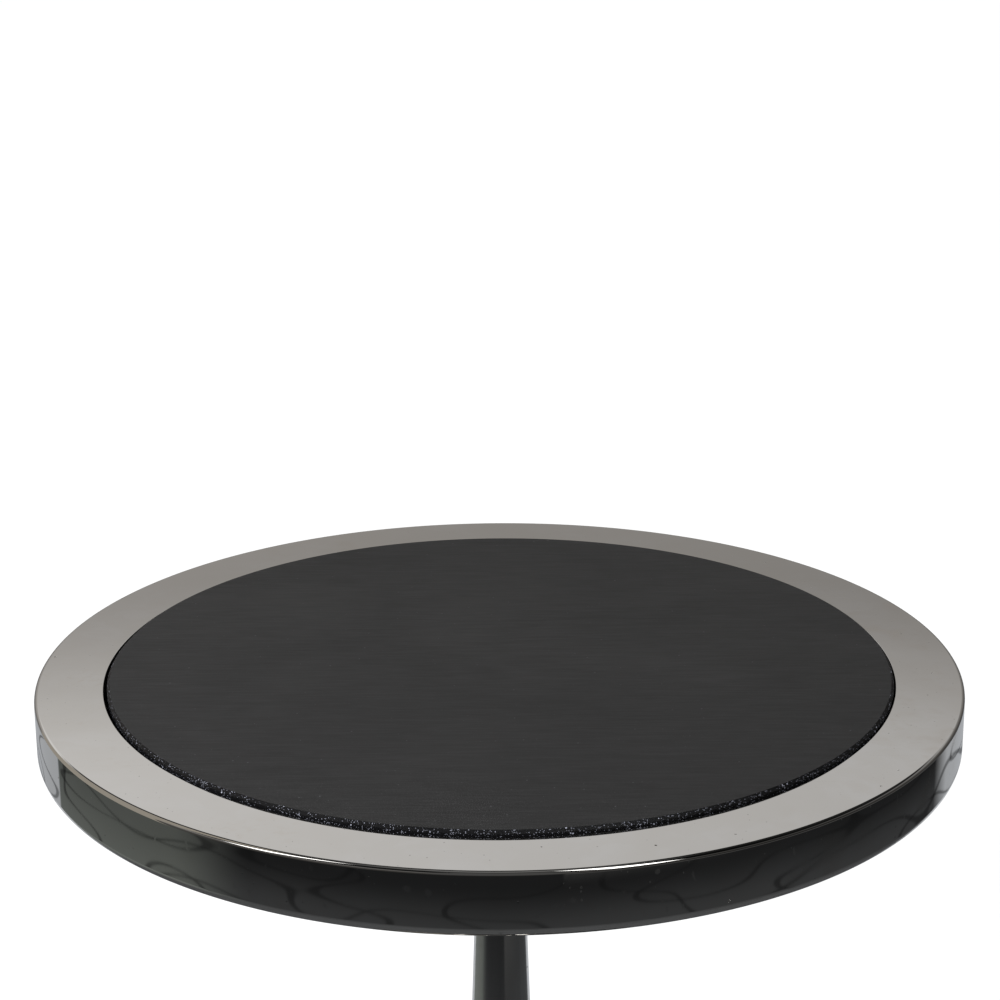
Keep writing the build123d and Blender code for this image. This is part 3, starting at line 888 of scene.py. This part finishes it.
@dataclass
class TableTop:
    """The rim shell and the stone that lies in it.

    Attributes:
        sheet: Thickness of the spun shell.
        well_radius: Hole that the stone drops into.
        ledge_radius: Inner edge of the ledge under the stone.
        lip_width: Flat part of the lip under the band.
        hem_round: Rounding of the band's lower corner.
        top_round: Rounding of its upper corner.
        edge_break: Rounding of the well's edge and of the lip's edges.
        ledge_bend: Outer rounding where the well's wall turns into the ledge.
        ledge_corner: Its inner rounding, in the well's corner.
        ledge_break: Rounding of the ledge's inner edges.
        steps: Steps in a full turn of the rim and of the stone.
        screw_circle: Radius of the circle of ledge screws.
        screw_count: Number of ledge screws.
        screw_head: Radius of a countersink at the ledge's face.
        stone_bevel: Bevel round the stone's upper edge.
        stone_break: Tiny rounding of the bevel's own edges.
        stone_chamfer: Bevel round the stone's lower edge.
    """

    sheet: float = 1.5 * MM
    well_radius: float = 195.3 * MM
    ledge_radius: float = 150.0 * MM
    lip_width: float = 4.0 * MM
    hem_round: float = 5.0 * MM
    top_round: float = 1.8 * MM
    edge_break: float = 0.3 * MM
    ledge_bend: float = 1.6 * MM
    ledge_corner: float = 0.6 * MM
    ledge_break: float = 0.2 * MM
    steps: int = 320
    screw_circle: float = 166.0 * MM
    screw_count: int = 8
    screw_head: float = 3.95 * MM
    stone_bevel: float = 1.4 * MM
    stone_break: float = 0.25 * MM
    stone_chamfer: float = 0.8 * MM

    def build(self) -> None:
        """Builds the rim shell and the stone."""
        self.build_rim()
        self.build_stone()

    def build_rim(self) -> None:
        """Turns the rim shell and cuts the screws' countersinks in its ledge."""
        low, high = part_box("rim_shell")
        radius, top, bottom = high.x, high.z, low.z
        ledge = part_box("stone_bumpers")[0].z
        lip = radius - self.hem_round - self.lip_width
        outline = [
            (self.well_radius, top),
            (radius, top),
            (radius, bottom),
            (lip, bottom),
            (lip, bottom + self.sheet),
            (radius - self.sheet, bottom + self.sheet),
            (radius - self.sheet, top - self.sheet),
            (self.well_radius + self.sheet, top - self.sheet),
            (self.well_radius + self.sheet, ledge - self.sheet),
            (self.ledge_radius, ledge - self.sheet),
            (self.ledge_radius, ledge),
            (self.well_radius, ledge),
        ]
        rounds = [
            Round(0, self.edge_break, 4),
            Round(1, self.top_round, 12),
            Round(2, self.hem_round, 12),
            Round(3, self.edge_break, 3),
            Round(4, self.edge_break, 3),
            Round(5, self.hem_round - self.sheet, 6),
            Round(8, self.ledge_bend),
            Round(9, self.ledge_break, 2),
            Round(10, self.ledge_break, 2),
            Round(11, self.ledge_corner, 4),
        ]
        mesh = Lathe(self.steps).turn(outline, rounds)
        # Faces inside the well, below the rim's top, take the near-black coat, which paints the shade in the
        # gap round the stone.
        well_top = top - 0.6 * self.sheet
        for face in mesh.faces:
            middle = face.calc_center_median()
            inside = middle.xy.length < self.well_radius + self.sheet and middle.z < well_top
            face.material_index = int(inside)
        piece = place_mesh(mesh, "rim_shell_polished")
        cut(piece, self.countersinks(ledge))
        dress(piece, Body.TABLE.value, Slot.NICKEL, [NICKEL, SHADED_WELL_COAT], ["rim_shell"])

    def countersinks(self, ledge: float) -> bmesh.types.BMesh:
        """Returns cone-shaped tools for the ledge's screws.

        Args:
            ledge: Height of the ledge's face.

        Returns:
            The tools' mesh.
        """
        tools = bmesh.new()
        over = 0.5 * MM
        for place in ring_places(self.screw_circle, self.screw_count):
            bmesh.ops.create_cone(
                tools,
                cap_ends=True,
                segments=32,
                radius1=self.screw_head - self.sheet - over,
                radius2=self.screw_head + over,
                depth=self.sheet + 2 * over,
                matrix=Matrix.Translation(place + Vector((0, 0, ledge - self.sheet / 2))),
            )
        return tools

    def build_stone(self) -> None:
        """Cuts the stone disc, with its bevelled edge and a finish of its own on the edge."""
        low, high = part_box("stone_inset")
        radius, centre = (high.x - low.x) / 2, (low + high) / 2
        outline = [
            (0.0, high.z),
            (radius - self.stone_bevel, high.z),
            (radius, high.z - self.stone_bevel),
            (radius, low.z + self.stone_chamfer),
            (radius - self.stone_chamfer, low.z),
            (0.0, low.z),
        ]
        sizes = {1: self.stone_break, 2: 2 * self.stone_break, 3: self.stone_break, 4: self.stone_break}
        rounds = [Round(corner, size, 3) for corner, size in sizes.items()]
        mesh = Lathe(self.steps).turn(outline, rounds, closed=False)
        face_radius = radius - self.stone_bevel
        for face in mesh.faces:
            middle = face.calc_center_median()
            face.material_index = int(middle.xy.length >= face_radius or middle.z <= centre.z)
        bmesh.ops.translate(mesh, verts=mesh.verts, vec=(centre.x, centre.y, 0.0))
        piece = place_mesh(mesh, "stone_disc")
        dress(piece, Body.STONE.value, Slot.STONE, [STONE_FACE, STONE_EDGE], ["stone_inset"])


@dataclass
class Column:
    """The turned collar, the tapered tube and the bead ring under it.

    Attributes:
        sheet: Thickness of the tube.
        rod_bore: Radius of the hole for the tie rod.
        flange: Thickness of the collar's flange.
        cove: Width of the hollow curve under the flange.
        bead: Height of the collar's lower bead.
        bead_swell: How far that bead stands out.
        neck_over: How far the collar's neck stands out of the tube.
        ring_height: Height of the bead ring.
        spigot_fit: Gap between a spigot and the tube.
        taper: How much the tube's radius shrinks for each metre upwards, in metres.
        rings: Loops that divide the tube's length.
        steps: Steps in a full turn of the tube and of the bead ring.
        collar_steps: Steps in a full turn of the collar.
    """

    sheet: float = 1.5 * MM
    rod_bore: float = 6.3 * MM
    flange: float = 3.5 * MM
    cove: float = 9.0 * MM
    bead: float = 3.0 * MM
    bead_swell: float = 1.3 * MM
    neck_over: float = 1.8 * MM
    ring_height: float = 8.0 * MM
    spigot_fit: float = 0.2 * MM
    taper: float = 0.0346
    rings: int = 15
    steps: int = 192
    collar_steps: int = 160

    def build(self) -> None:
        """Builds the tube, the collar and the bead ring."""
        low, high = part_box("column_shell")
        self.foot_radius, self.foot, self.head = high.x, low.z, high.z
        self.build_tube()
        self.build_collar()
        self.build_ring()

    def radius_at(self, height: float) -> float:
        """Returns the tube's outside radius at a height."""
        return self.foot_radius - (height - self.foot) * self.taper

    def build_tube(self) -> None:
        """Turns the tapered tube."""
        top = self.radius_at(self.head)
        outline = [
            (self.foot_radius, self.foot),
            (top, self.head),
            (top - self.sheet, self.head),
            (self.foot_radius - self.sheet, self.foot),
        ]
        mesh = Lathe(self.steps).turn(outline)
        long_edges = [e for e in mesh.edges if abs(e.verts[0].co.z - e.verts[1].co.z) > self.sheet]
        bmesh.ops.subdivide_edges(mesh, edges=long_edges, cuts=self.rings, use_grid_fill=True)
        self.polish(mesh, "column_tube", "column_shell")

    @staticmethod
    def polish(mesh: bmesh.types.BMesh, name: str, node: str) -> None:
        """Gives a piece of the column its nickel.

        Args:
            mesh: The piece's mesh, which is used up.
            name: The piece's name.
            node: The frame's node that it stands for.
        """
        dress(place_mesh(mesh, name), Body.TABLE.value, Slot.NICKEL, [COLUMN_NICKEL], [node])

    def build_collar(self) -> None:
        """Turns the collar: a flange, a hollow curve, a bead and a spigot inside the tube."""
        low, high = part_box("top_collar")
        neck = self.radius_at(self.head) + self.neck_over
        spigot = self.radius_at(self.head) - self.sheet - self.spigot_fit
        half = self.flange / 2
        under = high.z - self.flange
        cove_low = self.head + self.bead
        outline = [
            (self.rod_bore, low.z),
            (self.rod_bore, high.z),
            *quarter((high.x - half, high.z - half), (half, half), 90, -90, 12),
            *quarter((neck + self.cove, cove_low), (self.cove, under - cove_low), 90, 180, 20),
            *quarter((neck, self.head + self.bead / 2), (self.bead_swell, self.bead / 2), 80, -90, 12),
            (spigot, self.head),
            (spigot, low.z),
        ]
        self.polish(Lathe(self.collar_steps).turn(outline), "collar", "top_collar")

    def build_ring(self) -> None:
        """Turns the bead ring between the tube and the foot."""
        low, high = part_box("bead_ring")
        half = self.ring_height / 2
        spigot = self.radius_at(high.z) - self.sheet - self.spigot_fit
        outline = [
            (self.rod_bore, low.z),
            (self.rod_bore, high.z),
            (spigot, high.z),
            (spigot, low.z + self.ring_height),
            *quarter((high.x - half, low.z + half), (half, half), 90, -90, 24),
        ]
        self.polish(Lathe(self.steps).turn(outline), "bead_ring_turned", "bead_ring")


@dataclass
class Foot:
    """The domed foot shell.

    Attributes:
        sheet: Thickness of the shell.
        rim_width: Flat width outside the dome's curve.
        rim_height: Height of the foot's flat edge above its lip.
        edge_round: Rounding of the foot's upper edge.
        lower_round: Rounding of its lower edge.
        lip_width: Width of the lip turned in below.
        neck_bore: Hole in the top of the neck.
        neck_over: How far the neck stands out of the column.
        lip_break: Rounding of the lip's edges.
        spans: Spans in the dome's curve.
        steps: Steps in a full turn.
    """

    sheet: float = 1.5 * MM
    rim_width: float = 6.0 * MM
    rim_height: float = 13.4 * MM
    edge_round: float = 3.0 * MM
    lower_round: float = 1.4 * MM
    lip_width: float = 5.0 * MM
    neck_bore: float = 14.0 * MM
    neck_over: float = 0.3 * MM
    lip_break: float = 0.3 * MM
    spans: int = 44
    steps: int = 288

    def build(self) -> None:
        """Turns the shell from its neck over the dome to the lip."""
        low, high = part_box("base_shell")
        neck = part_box("column_shell")[1].x + self.neck_over
        edge = low.z + self.rim_height
        dome_end = high.x - self.rim_width
        inner_reach = (dome_end - neck + self.sheet, high.z - edge)
        outline = [
            (self.neck_bore, high.z),
            *quarter((dome_end, high.z), (dome_end - neck, high.z - edge), 180, 270, self.spans),
            (high.x, edge),
            (high.x, low.z),
            (high.x - self.lip_width, low.z),
            (high.x - self.lip_width, low.z + self.sheet),
            (high.x - self.sheet, low.z + self.sheet),
            (high.x - self.sheet, edge - self.sheet),
            *quarter((dome_end, high.z - self.sheet), inner_reach, 270, 180, self.spans),
            (self.neck_bore, high.z - self.sheet),
        ]
        corner = self.spans + 2
        rounds = [
            Round(corner, self.edge_round, 8),
            Round(corner + 1, self.lower_round, 5),
            Round(corner + 2, self.lip_break, 2),
            Round(corner + 3, self.lip_break, 2),
            Round(corner + 5, self.edge_round - self.sheet, 4),
        ]
        mesh = Lathe(self.steps).turn(outline, rounds)
        dress(place_mesh(mesh, "foot_shell"), Body.TABLE.value, Slot.NICKEL, [NICKEL], ["base_shell"])


@dataclass
class Glides:
    """Pads and felt faces of the four levelling glides.

    Attributes:
        circle: Radius of the circle that they stand on.
        first_angle: Angle of the first one in degrees.
        count: Number of glides.
        socket_radius: Radius of the ball socket.
        socket_height: Height of the socket's centre.
        boss_radius: Radius of the pad's flat top.
        skirt: Height of the pad's straight wall.
        pad_rounds: Roundings of the pad's top, shoulder and foot.
        felt_rounds: Roundings of the felt's upper and lower edges.
        pad_steps: Steps in a full turn of a pad.
        felt_steps: Steps in a full turn of a felt.
    """

    circle: float = 112.0 * MM
    first_angle: float = 45.0
    count: int = 4
    socket_radius: float = 3.1 * MM
    socket_height: float = 4.7 * MM
    boss_radius: float = 7.4 * MM
    skirt: float = 2.4 * MM
    pad_rounds: tuple[float, float, float] = (0.8 * MM, 1.2 * MM, 0.4 * MM)
    felt_rounds: tuple[float, float] = (0.15 * MM, 0.3 * MM)
    pad_steps: int = 72
    felt_steps: int = 96

    def build(self) -> None:
        """Builds every glide's pad and felt."""
        for number, place in enumerate(ring_places(self.circle, self.count, self.first_angle), start=1):
            self.build_pad(number, place)
            self.build_felt(number, place)

    def build_pad(self, number: int, place: Vector) -> None:
        """Turns one nylon pad with its ball socket.

        Args:
            number: The glide's number.
            place: Its place on the floor.
        """
        node = f"glide_{number}_pad"
        low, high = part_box(node)
        radius = (high.x - low.x) / 2
        depth = math.degrees(math.asin((high.z - self.socket_height) / self.socket_radius))
        socket = quarter((0.0, self.socket_height), (self.socket_radius, self.socket_radius), depth, -90, 16)
        outline = [
            *reversed(socket),
            (self.boss_radius, high.z),
            (radius, low.z + self.skirt),
            (radius, low.z),
            (0.0, low.z),
        ]
        outline[0] = (0.0, self.socket_height - self.socket_radius)
        base = len(socket)
        top, shoulder, foot = self.pad_rounds
        rounds = [Round(base, top, 4), Round(base + 1, shoulder, 5), Round(base + 2, foot, 3)]
        mesh = Lathe(self.pad_steps).turn(outline, rounds, closed=False)
        self.stand(mesh, number, place, Slot.NYLON, f"{node}_moulded", node)

    def build_felt(self, number: int, place: Vector) -> None:
        """Cuts one felt face with soft edges.

        Args:
            number: The glide's number.
            place: Its place on the floor.
        """
        node = f"glide_{number}_felt"
        low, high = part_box(node)
        radius = (high.x - low.x) / 2
        outline = [(0.0, high.z), (radius, high.z), (radius, low.z), (0.0, low.z)]
        upper, lower = self.felt_rounds
        rounds = [Round(1, upper, 2), Round(2, lower, 3)]
        mesh = Lathe(self.felt_steps).turn(outline, rounds, closed=False)
        self.stand(mesh, number, place, Slot.FELT, f"{node}_disc", node)

    @staticmethod
    def stand(
        mesh: bmesh.types.BMesh, number: int, place: Vector, slot: Slot, name: str, node: str
    ) -> None:
        """Stands a turned piece at its glide's place and dresses it.

        Args:
            mesh: The piece's mesh, which is used up.
            number: The glide's number.
            place: Its place on the floor.
            slot: The slot whose coat it takes.
            name: The piece's name.
            node: The frame's node that it stands for.
        """
        bmesh.ops.translate(mesh, verts=mesh.verts, vec=place)
        dress(place_mesh(mesh, name), Body.GLIDE.value.format(number), slot, [COATS[slot]], [node])


@dataclass
class CarriedPieces:
    """Plates, boards, screws and nuts that keep their frame meshes."""

    def build(self) -> None:
        """Gives every shown frame node the finish of its slot."""
        slots = {row["node"]: row["material_slot"] for row in frame["record"]["subparts"]}
        for name, node in frame["nodes"].items():
            if node.hide_render:
                continue
            coat = COATS[Slot(slots[name])]
            node.data.materials.clear()
            node.data.materials.append(coat.material())
            log.info("%s keeps its frame mesh in %s", name, coat.name)


# -------------------------------------------------------------------------- the studio


@dataclass(frozen=True)
class Patch:
    """A soft-edged patch of the tent.

    Attributes:
        sides: Its two sides.
        heights: Its lower and upper edges.
        soft: Width of its soft edge.
        glow: Its colour or grey.
    """

    sides: tuple[float, float]
    heights: tuple[float, float]
    soft: float
    glow: Colour | float

    def lay(self, nodes: Nodes, around: Socket, height: Socket, ground: Socket) -> Socket:
        """Lays the patch over a glow.

        Args:
            nodes: The cloth's nodes.
            around: Angle round the tent.
            height: Angle above its middle.
            ground: The glow under the patch.

        Returns:
            The colour's socket.
        """
        masks = []
        for angle, (low, high) in ((around, self.sides), (height, self.heights)):
            masks.append(nodes.span(angle, low - self.soft, low))
            masks.append(nodes.span(angle, high, high + self.soft, 1.0, 0.0))
        mask = masks[0]
        for other in masks[1:]:
            mask = nodes.times(mask, other)
        return nodes.mix(mask, ground, self.glow)


@dataclass
class LightTent:
    """Glowing cloth all round, seen only in polished metal.

    It has a pale wall behind the table, a dark floor, a warm wall on the left and two lamps.
    Angles are in degrees, round from the front to the right and up from the tent's middle.

    Attributes:
        radius: The tent's radius; it is far off, so that a direction alone picks the light.
        backdrop: Glow of the backdrop's foot, behind the table.
        backdrop_side: How far round the backdrop reaches, from the front.
        left_floor: Glow of the left part of the floor.
        left_floor_end: Where that part ends.
        front_floor: Glow of the floor in front and to the right, far off.
        front_floor_near: Its glow nearer the table.
        under_table: Glow of the floor right under the table.
        floor_tint: Cool tint of the floor.
        floor_rise: How much higher the floor's far edge stands behind the table than in front.
        rise_side: Where round the tent the rise is full.
        rise_curve: How late the rise sets in; 1 is an even slope.
        cable_glow: Glow of the cables on the floor.
        cable_shade: How strongly they show.
        wall_foot: Glow of the wall behind the table at its foot.
        wall_middle: Its glow in the middle.
        wall_top: Its glow at the top.
        ceiling: Glow above the wall.
        overhead: Glow straight above the table.
        lean: How much brighter the left of the wall is than its right.
        stand: Dark stand in front of the table.
        shelf: Warm shelf high on the left.
        skirting: Dark foot of the wall on the right.
        warm_wall: Wall on the left.
        lamps: The two lamps.
    """

    radius: float = 8.0
    backdrop: float = 0.43
    backdrop_side: float = 134.0
    left_floor: Colour = (0.115, 0.120, 0.108)
    left_floor_end: float = -75.0
    front_floor: float = 0.015
    front_floor_near: float = 0.05
    under_table: float = 0.10
    floor_tint: Colour = (0.965, 1.0, 1.055)
    floor_rise: float = 4.3
    rise_side: float = 168.0
    rise_curve: float = 1.55
    cable_glow: float = 0.008
    cable_shade: float = 0.62
    wall_foot: float = 0.15
    wall_middle: float = 0.33
    wall_top: float = 0.64
    ceiling: float = 0.035
    overhead: float = 0.20
    lean: float = 0.6
    stand: Patch = Patch((-12, 12), (0, 56), 7.0, 0.08)
    shelf: Patch = Patch((-130, -104), (32, 42), 4.0, (0.60, 0.54, 0.46))
    skirting: Patch = Patch((15, 150), (-25, -12), 1.0, 0.075)
    warm_wall: Patch = Patch((-134, -84), (-24, 60), 1.5, (0.38, 0.35, 0.305))
    lamps: tuple[Patch, ...] = (Patch((28, 42), (34, 70), 4.0, 4.5), Patch((-69, -60), (34, 62), 4.0, 3.8))

    def build(self, centre: Vector) -> None:
        """Raises the tent round a place.

        Args:
            centre: The tent's middle.
        """
        mesh = bmesh.new()
        bmesh.ops.create_uvsphere(mesh, u_segments=64, v_segments=32, radius=self.radius)
        bmesh.ops.translate(mesh, verts=mesh.verts, vec=centre)
        tent = place_mesh(mesh, "light_tent")
        for ray in ("camera", "diffuse", "transmission", "volume_scatter", "shadow"):
            setattr(tent, f"visible_{ray}", False)
        tent.data.materials.append(self.cloth(centre))
        tent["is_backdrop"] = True

    def cloth(self, centre: Vector) -> bpy.types.Material:
        """Returns the tent's glowing cloth.

        Args:
            centre: The tent's middle.

        Returns:
            The material.
        """
        cloth = bpy.data.materials.new("tent cloth")
        cloth.use_nodes = True
        cloth.cycles.emission_sampling = "NONE"
        nodes = Nodes(cloth.node_tree)
        place = nodes.add("ShaderNodeTexCoord").outputs["Object"]
        toward = nodes.vector("SUBTRACT", place, tuple(centre)).outputs[0]
        axis = nodes.add("ShaderNodeSeparateXYZ", {0: nodes.vector("NORMALIZE", toward).outputs[0]})
        height = nodes.math("DEGREES", nodes.math("ARCSINE", axis.outputs["Z"]))
        front = nodes.times(axis.outputs["Y"], -1.0)
        around = nodes.math("DEGREES", nodes.math("ARCTAN2", axis.outputs["X"], front))
        upper = self.upper_half(nodes, around, height)
        behind = nodes.math("DIVIDE", nodes.math("ABSOLUTE", around), self.rise_side)
        rise = nodes.times(nodes.math("POWER", behind, self.rise_curve), self.floor_rise)
        depth = nodes.minus(height, rise)
        lower = self.lower_half(nodes, around, depth)
        glow = nodes.mix(nodes.span(depth, -25.0, -8.0), lower, upper)
        for patch in (self.skirting, self.warm_wall):
            glow = patch.lay(nodes, around, depth, glow)
        for lamp in self.lamps:
            glow = lamp.lay(nodes, around, height, glow)
        light = nodes.add("ShaderNodeEmission", {"Color": glow, "Strength": 1.0})
        nodes.add("ShaderNodeOutputMaterial", {"Surface": light.outputs[0]})
        return cloth

    def lower_half(self, nodes: Nodes, around: Socket, depth: Socket) -> Socket:
        """Returns the glow of the floor, with the faint lines of cables that lie on it.

        Args:
            nodes: The cloth's nodes.
            around: Angle round the tent.
            depth: Angle above the tent's middle, less the rise of the floor's far edge.

        Returns:
            The colour's socket.
        """
        glow = nodes.span(depth, -25.9, -27.5, self.front_floor, self.front_floor_near)
        end = self.left_floor_end
        left = nodes.span(around, end - 10.0, end + 15.0, 1.0, 0.0)
        brighter = nodes.span(depth, -26.0, -27.7, 0.85, 1.2)
        glow = nodes.mix(left, glow, nodes.product(self.left_floor, brighter))
        away = nodes.math("ABSOLUTE", around)
        soft = nodes.span(around, -90.0, 90.0, 1.0, 9.0)
        start = nodes.minus(self.backdrop_side, nodes.times(soft, 0.5))
        behind = nodes.clamp(nodes.math("DIVIDE", nodes.minus(away, start), soft))
        glow = nodes.mix(behind, glow, self.backdrop)
        glow = nodes.product(glow, nodes.span(depth, -27.8, -29.5, 1.0, 1.45))
        glow = nodes.mix(nodes.span(depth, -32.0, -48.0), glow, self.under_table)
        spot = {"X": nodes.times(around, 0.027), "Y": nodes.times(depth, 0.80)}
        flat = nodes.add("ShaderNodeCombineXYZ", spot).outputs[0]
        drift = nodes.add("ShaderNodeTexNoise", {"Vector": flat, "Scale": 1.0, "Detail": 0.0})
        fields = nodes.add("ShaderNodeSeparateColor", {0: drift.outputs["Color"]})
        for field in fields.outputs[:2]:
            apart = nodes.math("ABSOLUTE", nodes.minus(field, 0.5))
            cable = nodes.span(apart, 0.005, 0.016, self.cable_shade, 0.0)
            glow = nodes.mix(cable, glow, self.cable_glow)
        return nodes.product(glow, self.floor_tint)

    def upper_half(self, nodes: Nodes, around: Socket, height: Socket) -> Socket:
        """Returns the glow of the wall and of the ceiling.

        Args:
            nodes: The cloth's nodes.
            around: Angle round the tent.
            height: Angle above its middle.

        Returns:
            The colour's socket.
        """
        low = nodes.span(height, 0.0, 16.0, self.wall_foot, self.wall_middle)
        rest = nodes.span(height, 19.0, 24.5, 0.0, self.wall_top - self.wall_middle)
        wall = nodes.mix(nodes.span(height, 27.0, 33.0), nodes.plus(low, rest), self.ceiling)
        side = nodes.math("SINE", nodes.math("RADIANS", around))
        tilt = nodes.minus(1.0, nodes.times(side, self.lean))
        turned = nodes.span(nodes.math("ABSOLUTE", around), 60.0, 155.0, 0.25, 1.0)
        glow = nodes.product(wall, nodes.times(tilt, turned))
        warm, pale = (1.0, 0.960, 0.925), (1.0, 0.988, 0.985)
        glow = nodes.product(glow, nodes.mix(nodes.span(height, 18.0, 25.0), warm, pale))
        glow = nodes.mix(nodes.span(height, 62.0, 86.0), glow, self.overhead)
        for patch in (self.stand, self.shelf):
            glow = patch.lay(nodes, around, height, glow)
        return glow


@dataclass
class Studio:
    """Floor, soft light and the camera.

    Attributes:
        distance: From the camera to the middle of the rim's flat.
        elevation: Angle of the camera above that point, in degrees.
        pitch: How far the camera looks down, in degrees.
        yaw: How far it looks to the side, in degrees.
        roll: How far it leans, in degrees.
        lens: Focal length in millimetres on a 36 mm sensor.
        daylight: Strength of the even white light.
        floor_radius: Radius of the floor.
        floor_grey: How pale the floor is.
        aim: Height that the lamps are aimed at, as a share of the rim's height.
    """

    distance: float = 1.2566
    elevation: float = 21.684
    pitch: float = 17.885
    yaw: float = 0.036
    roll: float = -0.291
    lens: float = 90.57
    daylight: float = 1.12
    floor_radius: float = 14.0
    floor_grey: float = 0.90
    aim: float = 0.6

    def build(self) -> None:
        """Builds the camera, the floor, the lights and the tent."""
        self.centre = Vector((0.0, 0.0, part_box("rim_shell")[1].z))
        self.place_camera()
        self.lay_floor()
        self.light_world()
        self.hang_lamps()
        LightTent().build(self.centre)
        view = bpy.context.scene.view_settings
        view.view_transform = "Standard"
        view.look = "None"

    def place_camera(self) -> None:
        """Places the camera in front of the table and above it."""
        angles = (self.elevation, self.pitch, self.yaw, self.roll)
        up, pitch, yaw, roll = (math.radians(angle) for angle in angles)
        level = math.cos(pitch)
        forward = Vector((math.sin(yaw) * level, math.cos(yaw) * level, -math.sin(pitch)))
        right = forward.cross(Vector((0, 0, 1))).normalized()
        over = right.cross(forward)
        side = right * math.cos(roll) + over * math.sin(roll)
        head = over * math.cos(roll) - right * math.sin(roll)
        data = bpy.data.cameras.new("camera")
        data.sensor_width = 36.0
        data.lens = self.lens
        data.clip_start, data.clip_end = 0.05, 60.0
        camera = bpy.data.objects.new("camera", data)
        turned = Matrix((side, head, -forward)).transposed().to_4x4()
        eye = self.centre + Vector((0.0, -math.cos(up), math.sin(up))) * self.distance
        camera.matrix_world = Matrix.Translation(eye) @ turned
        bpy.context.scene.collection.objects.link(camera)
        bpy.context.scene.camera = camera

    def lay_floor(self) -> None:
        """Lays a plain pale floor, clear from below, which mirrors leave out to show the tent."""
        mesh = bmesh.new()
        bmesh.ops.create_circle(mesh, cap_ends=True, segments=96, radius=self.floor_radius)
        floor = place_mesh(mesh, "floor")
        paper = bpy.data.materials.new("pale floor")
        paper.use_nodes = True
        nodes = Nodes(paper.node_tree)
        matt = nodes.add("ShaderNodeBsdfDiffuse", {"Color": rgba(self.floor_grey)}).outputs[0]
        clear = nodes.add("ShaderNodeBsdfTransparent").outputs[0]
        below = nodes.add("ShaderNodeNewGeometry").outputs["Backfacing"]
        shader = nodes.add("ShaderNodeMixShader", {0: below, 1: matt, 2: clear})
        nodes.add("ShaderNodeOutputMaterial", {"Surface": shader.outputs[0]})
        floor.data.materials.append(paper)
        floor.visible_glossy = False
        floor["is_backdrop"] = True

    def light_world(self) -> None:
        """Fills the room with even white light, which mirrors leave out."""
        world = bpy.data.worlds.new("room")
        bpy.context.scene.world = world
        world.use_nodes = True
        world.cycles_visibility.glossy = False
        nodes = Nodes(world.node_tree)
        light = nodes.add("ShaderNodeBackground", {"Color": rgba(1.0), "Strength": self.daylight})
        nodes.add("ShaderNodeOutputWorld", {"Surface": light.outputs[0]})

    def hang_lamps(self) -> None:
        """Hangs two broad soft lamps, which mirrors leave out."""
        for name, place, size, power in (
            ("lamp_left", (-0.55, -0.65, 0.95), 0.4, 11.0),
            ("lamp_right", (1.5, -1.4, 2.0), 1.2, 3.0),
        ):
            data = bpy.data.lights.new(name, "AREA")
            data.shape = "DISK"
            data.size = size
            data.energy = power
            lamp = bpy.data.objects.new(name, data)
            lamp.location = place
            beam = self.centre * self.aim - Vector(place)
            lamp.rotation_euler = beam.to_track_quat("-Z", "Y").to_euler()
            lamp.visible_glossy = False
            lamp.visible_camera = False
            bpy.context.scene.collection.objects.link(lamp)


def write_sizes() -> None:
    """Works out the boxes of the frame and of the finished table as plain lists, and leaves them unused."""
    boxes = {"cad": cad_box, "visual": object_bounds()}
    {name: [list(corner) for corner in box] for name, box in boxes.items()}


def main() -> None:
    """Builds the studio and the table, part by part."""
    logging.basicConfig(level=logging.INFO, format="%(message)s")
    for part in (Studio(), TableTop(), Column(), Foot(), Glides(), CarriedPieces()):
        part.build()
        log.info("built %s", type(part).__name__)
    write_sizes()


if __name__ == "__main__":
    main()
